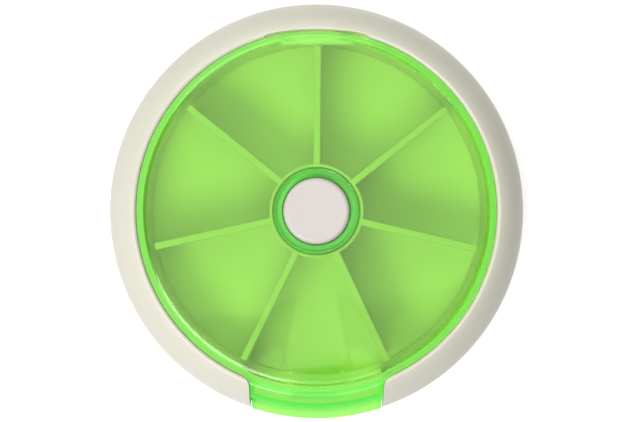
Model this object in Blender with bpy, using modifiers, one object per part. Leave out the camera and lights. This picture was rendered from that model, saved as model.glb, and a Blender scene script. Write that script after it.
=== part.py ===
# Round pill organizer with a push button that turns its compartment wheel.
# Metres, +Z up. The origin is under the middle of the foot, and the front is at -Y.
import math

import bmesh
import bpy
from mathutils import Matrix, Vector

MM = 0.001

# Case
CASE_RADIUS = 45.0 * MM
CASE_WALL = 1.8 * MM
PARTING_HEIGHT = 9.0 * MM
PARTING_GAP = 0.3 * MM
ROUND_WIDTH = 8.5 * MM
CREST_HEIGHT = 18.9 * MM
CREST_WIDTH = 5.85 * MM
CREST_FILLET = 0.8 * MM
FOOT_WIDTH = 5.0 * MM
FOOT_DEPTH = 0.8 * MM
FLOOR_TOP = 2.4 * MM
FLOOR_STEP = 0.15 * MM
RABBET_INNER = 0.1 * MM
RABBET_WIDTH = 0.7 * MM
RABBET_HEIGHT = 1.05 * MM
SEAT_GAP = 0.3 * MM
OVERRUN = 5.0 * MM

# Well for the wheel, in the bezel ring
LEDGE_DEPTH = 3.4 * MM
LEDGE_WIDTH = 1.45 * MM
WELL_WALL = 1.4 * MM
WELL_FOOT = 2.95 * MM

# Spout at the front
SPOUT_HALF = 14.35 * MM
SPOUT_ROUND = 3.0 * MM
SILL_HEIGHT = 5.0 * MM
CHEEK_WALL = 1.4 * MM
LATCH_SLOT_HALF = 5.6 * MM
LATCH_SLOT_OFFSET = 1.1 * MM
LATCH_SLOT_WIDTH = 3.0 * MM
LATCH_UNDERCUT = 0.5 * MM
LATCH_LIP_THICK = 1.0 * MM
LATCH_SLOT_FLOOR = 2.9 * MM

# Case screws
SCREW_INSET = 3.8 * MM
SCREW_COUNT = 4
BOSS_RADIUS = 2.4 * MM
SCREW_SHANK = 1.0 * MM
SCREW_HEAD = 1.6 * MM
SCREW_HEAD_HEIGHT = 1.1 * MM
SCREW_HEAD_TOP = 5.0 * MM
SCREW_BITE = 3.4 * MM
SCREW_SLOT = 0.5 * MM
SCREW_SLOT_SHARE = 0.6

# Lid
LID_CLEARANCE = 0.25 * MM
LID_RISE = 2.1 * MM
LID_WALL = 1.3 * MM
SKIRT_WALL = 1.25 * MM
SHOULDER = 3.2 * MM
COLLAR_BORE = 7.4 * MM
COLLAR_WALL = 1.65 * MM
COUNTERBORE_WIDTH = 1.2 * MM
COUNTERBORE_DEPTH = 1.4 * MM
COLLAR_FILLET = 0.4 * MM
TAB_CLEARANCE = 0.25 * MM
TAB_WALL = 1.2 * MM
TAB_INSET = 2.8 * MM
APRON_STEP = 0.1 * MM
LIP_LIFT = 0.4 * MM
LIP_THICK = 1.5 * MM
LIP_ROUND = 2.0 * MM
LIP_SIDE = 0.3 * MM
TONGUE_HALF = 5.0 * MM
TONGUE_OFFSET = 0.5 * MM
TONGUE_THICK = 1.3 * MM
TONGUE_TIP = 3.3 * MM
NOSE_REACH = 0.45 * MM
NOSE_HEIGHT = 0.8 * MM
NOSE_LIFT = 0.1 * MM
NOSE_SINK = 0.06 * MM
PAD_INSET = 7.5 * MM
PAD_LENGTH = 2.6 * MM
PAD_HALF = 6.5 * MM
PAD_DEPTH = 0.25 * MM
PAD_STEM_HALF = 5.0 * MM
PAD_STEM_DEPTH = 0.2 * MM
PAD_STEM_END = 1.7 * MM

# Hinge at the back
HINGE_INSET = 1.5 * MM
HINGE_LIFT = 0.05 * MM
PIN_RADIUS = 0.4 * MM
PIN_CLEARANCE = 0.1 * MM
PIN_HALF = 6.8 * MM
KNUCKLE_RADIUS = 0.85 * MM
KNUCKLE_HALF = 4.95 * MM
NECK_FRONT = 0.45 * MM
NECK_BACK = 0.6 * MM
NECK_FOOT_REACH = 1.1 * MM
NECK_FOOT_HEIGHT = 1.2 * MM
NECK_SIDE = 0.3 * MM
EAR_RADIUS = 0.85 * MM
EAR_END = 7.1 * MM
EAR_WEB_STEP = 0.2 * MM
HINGE_GAP = 0.3 * MM
SKIRT_BREAK_HALF = 12.0 * MM
SKIRT_BREAK_DROP = 0.5 * MM
COVER_RISE = 0.8 * MM

# Compartment wheel
WHEEL_CLEARANCE = 0.6 * MM
WHEEL_FLOOR = 3.4 * MM
WHEEL_FLOOR_THICK = 1.2 * MM
WHEEL_BORE = 5.85 * MM
VANE_COUNT = 7
VANE_THICK = 1.5 * MM
VANE_SETBACK = 1.1 * MM
VANE_CLEARANCE = 0.5 * MM
VANE_ROOT_FILLET = 0.5 * MM
HUB_INNER = 9.35 * MM
HUB_WALL = 0.7 * MM
TOOTH_HEIGHT = 2.6 * MM
TOOTH_DEPTH = 0.6 * MM
DETENT_CIRCLE_SHARE = 0.66
DETENT_NOTCH = 1.1 * MM
DETENT_NOTCH_DEPTH = 0.5 * MM
BEARING_INNER = 12.0 * MM
BEARING_OUTER = 14.0 * MM

# Button
BUTTON_RADIUS = 7.05 * MM
BUTTON_PROUD = 0.9 * MM
BUTTON_CAP = 1.5 * MM
BUTTON_WALL = 1.2 * MM
BUTTON_DEPTH = 8.9 * MM
BUTTON_FILLET = 0.8 * MM
BUTTON_STROKE = 3.0 * MM
SLEEVE_RADIUS = 3.9 * MM
SLEEVE_DEPTH = 8.1 * MM
LUG_COUNT = 3
LUG_HEIGHT = 1.2 * MM
LUG_DEPTH = 0.9 * MM
LUG_HALF_ANGLE = math.radians(6.0)

# Index driver
DRIVER_BORE = 4.3 * MM
DRIVER_DEPTH = 6.3 * MM
DRIVER_WEB = 1.2 * MM
PAWL_REACH = 8.35 * MM
PAWL_WIDTH = 1.0 * MM
PAWL_HEIGHT = 1.8 * MM
GROOVE_END_ANGLE = math.radians(3.5)

# Centre post, its screw and the return spring
CENTER_BOSS_RADIUS = 5.0 * MM
CENTER_BOSS_TOP = 4.2 * MM
CENTER_WELL_TOP = 2.6 * MM
POST_RADIUS = 2.6 * MM
POST_COLLAR_RADIUS = 3.9 * MM
POST_COLLAR_THICK = 0.8 * MM
POST_HEX_RADIUS = 2.45 * MM
POST_BORE = 1.5 * MM
POST_BORE_TOP = 12.0 * MM
POST_SCREW_SHANK = 1.2 * MM
POST_SCREW_HEAD = 3.0 * MM
POST_SCREW_HEAD_HEIGHT = 1.3 * MM
POST_SCREW_TIP = 11.0 * MM
SPRING_RADIUS = 3.25 * MM
SPRING_WIRE = 0.25 * MM
SPRING_TURNS = 6

# Detent leaf
LEAF_WIDTH = 3.0 * MM
LEAF_THICK = 0.3 * MM
LEAF_LENGTH = 11.0 * MM
LEAF_POCKET = 0.5 * MM

# Facets
WELD_DISTANCE = 0.01 * MM
RING_STEPS = 60
SMALL_STEPS = 32
PIN_STEPS = 16
ARC_STEPS = 6
ROUND_STEPS = 8
HIDDEN_STEPS = 4

PITCH = 2 * math.pi / VANE_COUNT
INNER_ROUND = ROUND_WIDTH - CASE_WALL
ROUND_CENTER = CASE_RADIUS - ROUND_WIDTH
CREST_RADIUS = CASE_RADIUS - CREST_WIDTH
CREST_DROP_SHARE = math.sqrt(1 - ((CREST_RADIUS - ROUND_CENTER) / ROUND_WIDTH) ** 2)
UPPER_ROUND = (CREST_HEIGHT - PARTING_HEIGHT) / CREST_DROP_SHARE
BORE_RADIUS = CREST_RADIUS - CREST_FILLET
LEDGE_HEIGHT = CREST_HEIGHT - LEDGE_DEPTH
LID_RADIUS = BORE_RADIUS - LID_CLEARANCE
LID_TOP = CREST_HEIGHT + LID_RISE
LIP_BOTTOM = PARTING_HEIGHT + LIP_LIFT
WELL_RADIUS = BORE_RADIUS - LEDGE_WIDTH
WHEEL_RADIUS = WELL_RADIUS - WHEEL_CLEARANCE
VANE_TIP = WHEEL_RADIUS - VANE_SETBACK
VANE_TOP = LID_TOP - LID_WALL - VANE_CLEARANCE
DETENT_CIRCLE = WHEEL_RADIUS * DETENT_CIRCLE_SHARE
HINGE_Y = LID_RADIUS - HINGE_INSET
HINGE_Z = CREST_HEIGHT + HINGE_LIFT
SCREW_CIRCLE = CASE_RADIUS - SCREW_INSET
SCREW_TIP = PARTING_HEIGHT + SCREW_BITE
TAB_FRONT = CASE_RADIUS - TAB_INSET
LATCH_SLOT_INNER = WELL_RADIUS + LATCH_SLOT_OFFSET
LATCH_LIP = LATCH_SLOT_INNER + LATCH_SLOT_WIDTH
TONGUE_INNER = LATCH_SLOT_INNER + TONGUE_OFFSET
PAD_INNER = LID_RADIUS - PAD_INSET
SKIRT_BOTTOM = LEDGE_HEIGHT + SEAT_GAP
COLLAR_OUTER = COLLAR_BORE + COLLAR_WALL
TAB_HALF = SPOUT_HALF - TAB_CLEARANCE
BUTTON_TOP = LID_TOP + BUTTON_PROUD
BUTTON_SKIRT = BUTTON_TOP - BUTTON_DEPTH
SLEEVE_BOTTOM = BUTTON_TOP - SLEEVE_DEPTH
DRIVER_TOP = BUTTON_TOP - DRIVER_DEPTH
DRIVER_RADIUS = BUTTON_RADIUS - BUTTON_WALL - SEAT_GAP
BUTTON_INNER = BUTTON_RADIUS - BUTTON_WALL
DRIVER_BOTTOM = CENTER_BOSS_TOP + SEAT_GAP
POST_COLLAR_BOTTOM = DRIVER_BOTTOM + DRIVER_WEB + SEAT_GAP
POST_COLLAR_TOP = POST_COLLAR_BOTTOM + POST_COLLAR_THICK
POST_TOP = BUTTON_TOP - BUTTON_CAP - BUTTON_STROKE - SEAT_GAP
WHEEL_FLOOR_TOP = WHEEL_FLOOR + WHEEL_FLOOR_THICK
RISE_PER_RADIAN = BUTTON_STROKE / PITCH


def clear_scene():
    for old in list(bpy.data.objects):
        bpy.data.objects.remove(old)


def new_collection(name):
    made = bpy.data.collections.new(name)
    bpy.context.scene.collection.children.link(made)
    return made


clear_scene()
PARTS = new_collection("round_pill_organizer")
CUTTERS = new_collection("cutters")


def material(name, color, roughness, metallic=0.0, alpha=1.0):
    made = bpy.data.materials.new(name)
    made.use_nodes = True
    shader = made.node_tree.nodes["Principled BSDF"]
    shader.inputs["Base Color"].default_value = (*color, 1.0)
    shader.inputs["Roughness"].default_value = roughness
    shader.inputs["Metallic"].default_value = metallic
    shader.inputs["Alpha"].default_value = alpha
    return made


def add_object(name, mesh, home, finish=None):
    made = bpy.data.objects.new(name, mesh)
    home.objects.link(made)
    if finish:
        mesh.materials.append(finish)
    if home is CUTTERS:
        made.hide_render = True
        made.display_type = "WIRE"
    return made


def arc(center_x, center_y, radius_x, radius_y, start, end, steps=ARC_STEPS):
    """Points of an elliptic arc, with both ends, angles in radians."""
    points = []
    for step in range(steps + 1):
        angle = start + (end - start) * step / steps
        points.append((center_x + radius_x * math.cos(angle), center_y + radius_y * math.sin(angle)))
    return points


def turned(name, profile, home=None, finish=None, steps=RING_STEPS, angle=2 * math.pi):
    """A closed profile of (radius, height) turned about Z. It runs down its outer side."""
    mesh = bpy.data.meshes.new(name)
    verts = [(radius, 0.0, height) for radius, height in profile]
    edges = [(i, (i + 1) % len(verts)) for i in range(len(verts))]
    mesh.from_pydata(verts, edges, [])
    made = add_object(name, mesh, home or CUTTERS, finish)
    screw = made.modifiers.new("turn", "SCREW")
    screw.angle = angle
    screw.steps = steps
    screw.render_steps = steps
    screw.use_merge_vertices = True
    screw.merge_threshold = WELD_DISTANCE
    return made


def cylinder(name, radius, low, high, center=(0.0, 0.0), steps=PIN_STEPS, home=None, finish=None):
    """An upright cylinder, as a bmesh primitive."""
    shape = bmesh.new()
    bmesh.ops.create_cone(shape, cap_ends=True, segments=steps, radius1=radius, radius2=radius,
                          depth=high - low)
    bmesh.ops.translate(shape, verts=shape.verts, vec=(center[0], center[1], (low + high) / 2))
    mesh = bpy.data.meshes.new(name)
    shape.to_mesh(mesh)
    shape.free()
    return add_object(name, mesh, home or CUTTERS, finish)


def cross_cylinder(name, radius, start, end, center_y, center_z, steps=PIN_STEPS, home=None, finish=None):
    """A cylinder that lies along X."""
    shape = bmesh.new()
    bmesh.ops.create_cone(shape, cap_ends=True, segments=steps, radius1=radius, radius2=radius,
                          depth=end - start)
    bmesh.ops.rotate(shape, verts=shape.verts, matrix=Matrix.Rotation(math.pi / 2, 3, "Y"))
    bmesh.ops.translate(shape, verts=shape.verts, vec=((start + end) / 2, center_y, center_z))
    mesh = bpy.data.meshes.new(name)
    shape.to_mesh(mesh)
    shape.free()
    return add_object(name, mesh, home or CUTTERS, finish)


def box(name, low, high, angle=0.0, home=None, finish=None):
    """A box between two corners, turned about Z by the angle."""
    shape = bmesh.new()
    bmesh.ops.create_cube(shape, size=1.0)
    size = [b - a for a, b in zip(low, high)]
    middle = [(a + b) / 2 for a, b in zip(low, high)]
    bmesh.ops.scale(shape, verts=shape.verts, vec=size)
    bmesh.ops.translate(shape, verts=shape.verts, vec=middle)
    bmesh.ops.rotate(shape, verts=shape.verts, matrix=Matrix.Rotation(angle, 3, "Z"))
    mesh = bpy.data.meshes.new(name)
    shape.to_mesh(mesh)
    shape.free()
    return add_object(name, mesh, home or CUTTERS, finish)


def outline_solid(name, points, low, high, home=None, finish=None):
    """A flat outline as a filled 2D curve, extruded and made a mesh."""
    curve = bpy.data.curves.new(name + "_outline", "CURVE")
    curve.dimensions = "2D"
    curve.fill_mode = "BOTH"
    curve.extrude = (high - low) / 2
    spline = curve.splines.new("POLY")
    spline.points.add(len(points) - 1)
    for point, (x, y) in zip(spline.points, points):
        point.co = (x, y, 0.0, 1.0)
    spline.use_cyclic_u = True
    guide = bpy.data.objects.new(name + "_outline", curve)
    CUTTERS.objects.link(guide)
    guide.location.z = (low + high) / 2
    return meshed(name, guide, home, finish)


def meshed(name, guide, home=None, finish=None):
    """A curve object made a mesh object with welded caps."""
    bpy.context.view_layer.update()
    seen = guide.evaluated_get(bpy.context.evaluated_depsgraph_get())
    mesh = bpy.data.meshes.new_from_object(seen)
    mesh.name = name
    mesh.materials.clear()
    shape = bmesh.new()
    shape.from_mesh(mesh)
    bmesh.ops.remove_doubles(shape, verts=shape.verts, dist=WELD_DISTANCE / 10)
    bmesh.ops.recalc_face_normals(shape, faces=shape.faces)
    shape.to_mesh(mesh)
    shape.free()
    made = add_object(name, mesh, home or CUTTERS, finish)
    made.matrix_world = guide.matrix_world.copy()
    bpy.data.objects.remove(guide)
    return made


def combine(target, operation, *tools):
    """Exact Boolean modifiers on the target, one for each tool."""
    for tool in tools:
        step = target.modifiers.new(tool.name, "BOOLEAN")
        step.operation = operation
        step.solver = "EXACT"
        step.object = tool
        tool.hide_render = True
        tool.display_type = "WIRE"
    weld = target.modifiers.new("weld", "WELD")
    weld.merge_threshold = WELD_DISTANCE
    return target


def smooth(made, limit=math.radians(35.0)):
    made.data.shade_smooth()
    made.data.set_sharp_from_angle(angle=limit)


def helical_bar(name, inner, outer, height, start, end, middle_height, copies, steps=8):
    """Bars of a rectangular section that climb with the button's helix, as one mesh."""
    shape = bmesh.new()
    for copy in range(copies):
        turn = 2 * math.pi * copy / copies + start
        low = middle_height + RISE_PER_RADIAN * start - height / 2
        corners = [(inner, low), (outer, low), (outer, low + height), (inner, low + height)]
        verts = [shape.verts.new((r * math.cos(turn), r * math.sin(turn), z)) for r, z in corners]
        face = shape.faces.new(verts)
        rise = RISE_PER_RADIAN * (end - start) / steps
        bmesh.ops.spin(shape, geom=verts + list(face.edges) + [face], cent=(0, 0, 0), axis=(0, 0, 1),
                       dvec=(0, 0, rise), angle=end - start, steps=steps, use_merge=False)
    bmesh.ops.recalc_face_normals(shape, faces=shape.faces)
    mesh = bpy.data.meshes.new(name)
    shape.to_mesh(mesh)
    shape.free()
    return add_object(name, mesh, CUTTERS)


def outer_round(low, high, steps=ROUND_STEPS):
    """Side of the case from its upper to its lower height, as (radius, height) points."""
    points = []
    for step in range(steps + 1):
        height = high + (low - high) * step / steps
        rise = UPPER_ROUND if height > PARTING_HEIGHT else PARTING_HEIGHT
        share = min(1.0, abs(height - PARTING_HEIGHT) / rise)
        angle = math.asin(share)
        points.append((ROUND_CENTER + ROUND_WIDTH * math.cos(angle), height))
    return points


def screw_places():
    for index in range(SCREW_COUNT):
        angle = 2 * math.pi * (index + 0.5) / SCREW_COUNT
        yield index, (SCREW_CIRCLE * math.cos(angle), SCREW_CIRCLE * math.sin(angle))


def spout_outline(half, fillet, back_radius, reach):
    """Plan of the spout: two side lines that open through rounded corners onto a circle."""
    center_x = half + fillet
    center_y = -math.sqrt((back_radius + fillet) ** 2 - center_x ** 2)
    meet = math.atan2(-center_y, -center_x)
    right = [(half, -reach)] + arc(center_x, center_y, fillet, fillet, math.pi, meet)
    back = -back_radius + half
    right.append((right[-1][0] - fillet / 2, back))
    return right + [(-x, y) for x, y in reversed(right)]


def make_base_shell(finish):
    bottom = arc(ROUND_CENTER, PARTING_HEIGHT, ROUND_WIDTH, PARTING_HEIGHT, 0.0, -math.pi / 2)
    top = PARTING_HEIGHT - PARTING_GAP / 2
    bottom[0] = (CASE_RADIUS, top)
    inner = ROUND_CENTER + INNER_ROUND
    rabbet = inner + RABBET_INNER
    hole = POST_SCREW_SHANK + SEAT_GAP
    head = POST_SCREW_HEAD + SEAT_GAP
    bearing = WHEEL_FLOOR - SEAT_GAP
    profile = [(rabbet, top + RABBET_HEIGHT), (rabbet + RABBET_WIDTH, top + RABBET_HEIGHT),
               (rabbet + RABBET_WIDTH, top)]
    profile += bottom
    foot_inner = ROUND_CENTER - FOOT_WIDTH
    profile += [(foot_inner, 0.0), (foot_inner, FOOT_DEPTH), (head, FOOT_DEPTH),
                (head, CENTER_WELL_TOP), (hole, CENTER_WELL_TOP), (hole, CENTER_BOSS_TOP),
                (CENTER_BOSS_RADIUS, CENTER_BOSS_TOP), (CENTER_BOSS_RADIUS, FLOOR_TOP),
                (BEARING_INNER, FLOOR_TOP), (BEARING_INNER, bearing), (BEARING_OUTER, bearing),
                (BEARING_OUTER, FLOOR_TOP)]
    solid_inner = WHEEL_RADIUS + SEAT_GAP
    profile += [(solid_inner, FLOOR_TOP), (solid_inner, top), (rabbet, top)]
    base = turned("base_shell", profile, PARTS, finish)

    depth = PARTING_HEIGHT - FLOOR_TOP - FLOOR_STEP
    wall = arc(ROUND_CENTER, PARTING_HEIGHT, INNER_ROUND, depth, 0.0, -math.pi / 2, HIDDEN_STEPS)
    cavity = turned("base_cavity", [(inner, top + OVERRUN)] + wall + [(ROUND_CENTER, top + OVERRUN)])
    column_top = top - FLOOR_STEP
    columns = [cylinder("base_column", BOSS_RADIUS, 0.0, column_top, place) for _, place in screw_places()]
    sill_half = SPOUT_HALF - SEAT_GAP
    cheek_half = SPOUT_HALF + CHEEK_WALL
    cheek_inner = WELL_RADIUS + WELL_WALL + SEAT_GAP
    cheek_back = math.sqrt(cheek_inner ** 2 - SPOUT_HALF ** 2)
    sill = box("sill", (-sill_half, -CASE_RADIUS, 0.0), (sill_half, -CASE_RADIUS + SPOUT_HALF, top))
    cheeks = box("cheeks", (-cheek_half, -CASE_RADIUS, 0.0), (cheek_half, -cheek_back, column_top))
    combine(cavity, "DIFFERENCE", *columns, sill, cheeks)
    mouth = box("base_mouth", (-SPOUT_HALF, -CASE_RADIUS - OVERRUN, SILL_HEIGHT),
                (SPOUT_HALF, -CASE_RADIUS + SPOUT_HALF, top + OVERRUN))
    slot = box("latch_slot", (-LATCH_SLOT_HALF, -LATCH_LIP, LATCH_SLOT_FLOOR),
               (LATCH_SLOT_HALF, -LATCH_SLOT_INNER, SILL_HEIGHT + OVERRUN))
    undercut = box("latch_undercut", (-LATCH_SLOT_HALF, -LATCH_LIP - LATCH_UNDERCUT, LATCH_SLOT_FLOOR),
                   (LATCH_SLOT_HALF, -LATCH_LIP + LATCH_UNDERCUT, SILL_HEIGHT - LATCH_LIP_THICK))
    leaf_half = LEAF_LENGTH / 2 + SEAT_GAP
    leaf_side = LEAF_WIDTH / 2 + SEAT_GAP
    leaf_pocket = box("leaf_pocket", (-leaf_half, -DETENT_CIRCLE - leaf_side, FLOOR_TOP - LEAF_POCKET),
                      (leaf_half, -DETENT_CIRCLE + leaf_side, FLOOR_TOP + OVERRUN))
    combine(base, "DIFFERENCE", cavity, mouth, slot, undercut, leaf_pocket)
    for index, place in screw_places():
        shank = cylinder("screw_hole", SCREW_SHANK + SEAT_GAP, -OVERRUN, top + OVERRUN, place)
        head_hole = cylinder("screw_well", SCREW_HEAD + SEAT_GAP, -OVERRUN,
                             SCREW_HEAD_TOP + SEAT_GAP, place)
        combine(base, "DIFFERENCE", shank, head_hole)
    return base


def lid_back_height(across):
    """Height of the lid's shoulder over the hinge line at a distance from its middle."""
    radius = math.hypot(across, HINGE_Y)
    edge = LID_RADIUS - shoulder_reach()
    rise = SHOULDER ** 2 - max(0.0, radius - edge) ** 2
    return LID_TOP - SHOULDER + math.sqrt(max(0.0, rise))


def shoulder_reach():
    """Width of the lid's shoulder, down to the height of the ring's crest."""
    return math.sqrt(SHOULDER ** 2 - (CREST_HEIGHT - LID_TOP + SHOULDER) ** 2)


def hinge_relief():
    """Room for the lid's back edge as it turns: a barrel about the hinge line."""
    half = math.sqrt(LID_RADIUS ** 2 - HINGE_Y ** 2)
    profile = []
    count = 2 * ARC_STEPS
    for step in range(count + 1):
        along = half * math.cos(math.pi * step / count)
        reach = lid_back_height(along) - HINGE_Z + HINGE_GAP
        profile.append((reach, along))
    profile += [(0.0, -half), (0.0, half)]
    relief = turned("hinge_relief", profile, steps=SMALL_STEPS)
    relief.rotation_euler = (0.0, math.pi / 2, 0.0)
    relief.location = (0.0, HINGE_Y, HINGE_Z)
    return relief


def make_bezel_ring(finish):
    low = PARTING_HEIGHT + PARTING_GAP / 2
    profile = outer_round(low, CREST_HEIGHT)
    well_back = WELL_RADIUS + WELL_WALL
    profile += [(well_back + SEAT_GAP, low), (well_back + SEAT_GAP, WELL_FOOT), (WELL_RADIUS, WELL_FOOT),
                (WELL_RADIUS, LEDGE_HEIGHT), (BORE_RADIUS, LEDGE_HEIGHT)]
    corner = arc(CREST_RADIUS, CREST_HEIGHT - CREST_FILLET, CREST_FILLET, CREST_FILLET,
                 math.pi, math.pi / 2, HIDDEN_STEPS - 1)
    profile += corner[:-1]
    ring = turned("bezel_ring", profile, PARTS, finish)

    inner_rise = UPPER_ROUND - CASE_WALL
    roof_start = math.acos((well_back - ROUND_CENTER) / INNER_ROUND)
    roof = arc(ROUND_CENTER, PARTING_HEIGHT, INNER_ROUND, inner_rise, roof_start, 0.0, HIDDEN_STEPS + 1)
    ledge_under = LEDGE_HEIGHT - CASE_WALL
    roof[0] = (well_back, min(roof[0][1], ledge_under))
    under = WELL_FOOT - OVERRUN
    cavity = turned("ring_cavity", roof + [(roof[-1][0], under), (well_back, under)])
    bosses = [cylinder("ring_boss", BOSS_RADIUS, -OVERRUN, CREST_HEIGHT, place)
              for _, place in screw_places()]
    cheek_half = SPOUT_HALF + CHEEK_WALL
    cheeks = box("ring_cheeks", (-cheek_half, -CASE_RADIUS, low - RABBET_INNER),
                 (cheek_half, -CASE_RADIUS + SPOUT_HALF, CREST_HEIGHT))
    combine(cavity, "DIFFERENCE", *bosses, cheeks)
    rabbet_low = ROUND_CENTER + INNER_ROUND + RABBET_INNER - SEAT_GAP
    rabbet_high = low + RABBET_HEIGHT
    rabbet_out = rabbet_low + RABBET_WIDTH + 2 * SEAT_GAP
    rabbet = turned("ring_rabbet", [(rabbet_out, rabbet_high), (rabbet_out, low - OVERRUN),
                                    (rabbet_low, low - OVERRUN), (rabbet_low, rabbet_high)])
    gap = outline_solid("spout_cut", spout_outline(SPOUT_HALF, SPOUT_ROUND, BORE_RADIUS,
                                                   CASE_RADIUS + OVERRUN), 0.0, CREST_HEIGHT + OVERRUN)
    combine(ring, "DIFFERENCE", rabbet)
    combine(ring, "DIFFERENCE", cavity)
    combine(ring, "DIFFERENCE", gap, hinge_relief())
    for index, place in screw_places():
        combine(ring, "DIFFERENCE", cylinder("pilot_hole", SCREW_SHANK + SEAT_GAP, 0.0,
                                             SCREW_TIP + SEAT_GAP, place))
    neck_half = KNUCKLE_HALF - NECK_SIDE
    neck = box("hinge_neck", (-neck_half, HINGE_Y - NECK_FRONT, LEDGE_HEIGHT - SEAT_GAP),
               (neck_half, HINGE_Y + NECK_BACK, HINGE_Z - PIN_RADIUS))
    foot_half = neck_half - NECK_SIDE
    foot_low = LEDGE_HEIGHT - 2 * SEAT_GAP
    foot = box("hinge_foot", (-foot_half, HINGE_Y + NECK_BACK / 2, foot_low),
               (foot_half, WELL_RADIUS + NECK_FOOT_REACH, LEDGE_HEIGHT + NECK_FOOT_HEIGHT))
    knuckle = cross_cylinder("hinge_knuckle", KNUCKLE_RADIUS, -KNUCKLE_HALF, KNUCKLE_HALF,
                             HINGE_Y, HINGE_Z, 20)
    combine(ring, "UNION", neck, foot, knuckle)
    pin_hole = cross_cylinder("knuckle_hole", PIN_RADIUS + PIN_CLEARANCE, -EAR_END, EAR_END,
                              HINGE_Y, HINGE_Z)
    combine(ring, "DIFFERENCE", pin_hole)
    return ring


def lid_section(drop, inset):
    """Top of the lid from its flat out to the tab, lowered and drawn in by the wall."""
    shoulder = SHOULDER - drop
    center = LID_RADIUS - shoulder_reach()
    low = LID_TOP - SHOULDER
    tab_level = CREST_HEIGHT - drop
    ending = math.asin(min(1.0, max(0.0, (tab_level + inset - low) / shoulder)))
    points = arc(center, low, shoulder, shoulder, math.pi / 2, ending)
    if inset:
        points.append((LID_RADIUS, tab_level))
    points.append((CREST_RADIUS, tab_level))
    width = ROUND_WIDTH - drop
    rise = (tab_level - PARTING_HEIGHT) / math.sqrt(1 - ((CREST_RADIUS - ROUND_CENTER) / width) ** 2)
    front = TAB_FRONT - inset
    for step in range(1, HIDDEN_STEPS + 1):
        radius = CREST_RADIUS + (front - CREST_RADIUS) * step / HIDDEN_STEPS
        share = (radius - ROUND_CENTER) / width
        points.append((radius, PARTING_HEIGHT + rise * math.sqrt(1 - share ** 2)))
    return points


def lid_outline(disc, half, fillet, front):
    """Plan of the lid: a disc whose edge runs through two fillets into the tab."""
    center_x = half + fillet
    center_y = -math.sqrt((disc + fillet) ** 2 - center_x ** 2)
    meet = math.atan2(-center_y, -center_x)
    corner = math.asin(half / front)
    tab = arc(0.0, 0.0, front, front, -math.pi / 2, -math.pi / 2 + corner)[1:]
    side = arc(center_x, center_y, fillet, fillet, math.pi, meet, HIDDEN_STEPS)
    start = math.atan2(side[-1][1], side[-1][0])
    rim = arc(0.0, 0.0, disc, disc, start, math.pi / 2, RING_STEPS // 2)[1:]
    right = tab + side + rim
    left = [(-x, y) for x, y in reversed(right[:-1])]
    return [(0.0, -front)] + right + left


def make_lid(finish):
    rim = lid_section(0.0, 0.0)
    collar_low = [(COLLAR_BORE, SKIRT_BOTTOM), (COLLAR_BORE, LID_TOP - COUNTERBORE_DEPTH)]
    counterbore = COLLAR_BORE + COUNTERBORE_WIDTH
    dish = [(counterbore, LID_TOP - COUNTERBORE_DEPTH)]
    dish += arc(counterbore + COLLAR_FILLET, LID_TOP - COLLAR_FILLET, COLLAR_FILLET, COLLAR_FILLET,
                math.pi, math.pi / 2, HIDDEN_STEPS - 1)
    lid = turned("lid", rim + [(TAB_FRONT, SKIRT_BOTTOM)] + collar_low + dish, PARTS, finish)
    fillet = SPOUT_ROUND + TAB_CLEARANCE
    plan = outline_solid("lid_plan", lid_outline(LID_RADIUS, TAB_HALF, fillet, TAB_FRONT + OVERRUN),
                         0.0, LID_TOP + OVERRUN)
    combine(lid, "INTERSECT", plan)

    roof = lid_section(LID_WALL, TAB_WALL)
    under = SKIRT_BOTTOM - OVERRUN
    hollow = turned("lid_hollow", roof + [(roof[-1][0], under), (COLLAR_OUTER, under),
                                          (COLLAR_OUTER, LID_TOP - LID_WALL)])
    inner_plan = outline_solid("hollow_plan", lid_outline(LID_RADIUS - SKIRT_WALL, TAB_HALF - TAB_WALL,
                                                          fillet + TAB_WALL, TAB_FRONT), -OVERRUN,
                               LID_TOP + OVERRUN)
    combine(hollow, "INTERSECT", inner_plan)
    combine(lid, "DIFFERENCE", hollow)

    lid_front(lid)
    lid_hinge(lid)
    return lid


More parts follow.
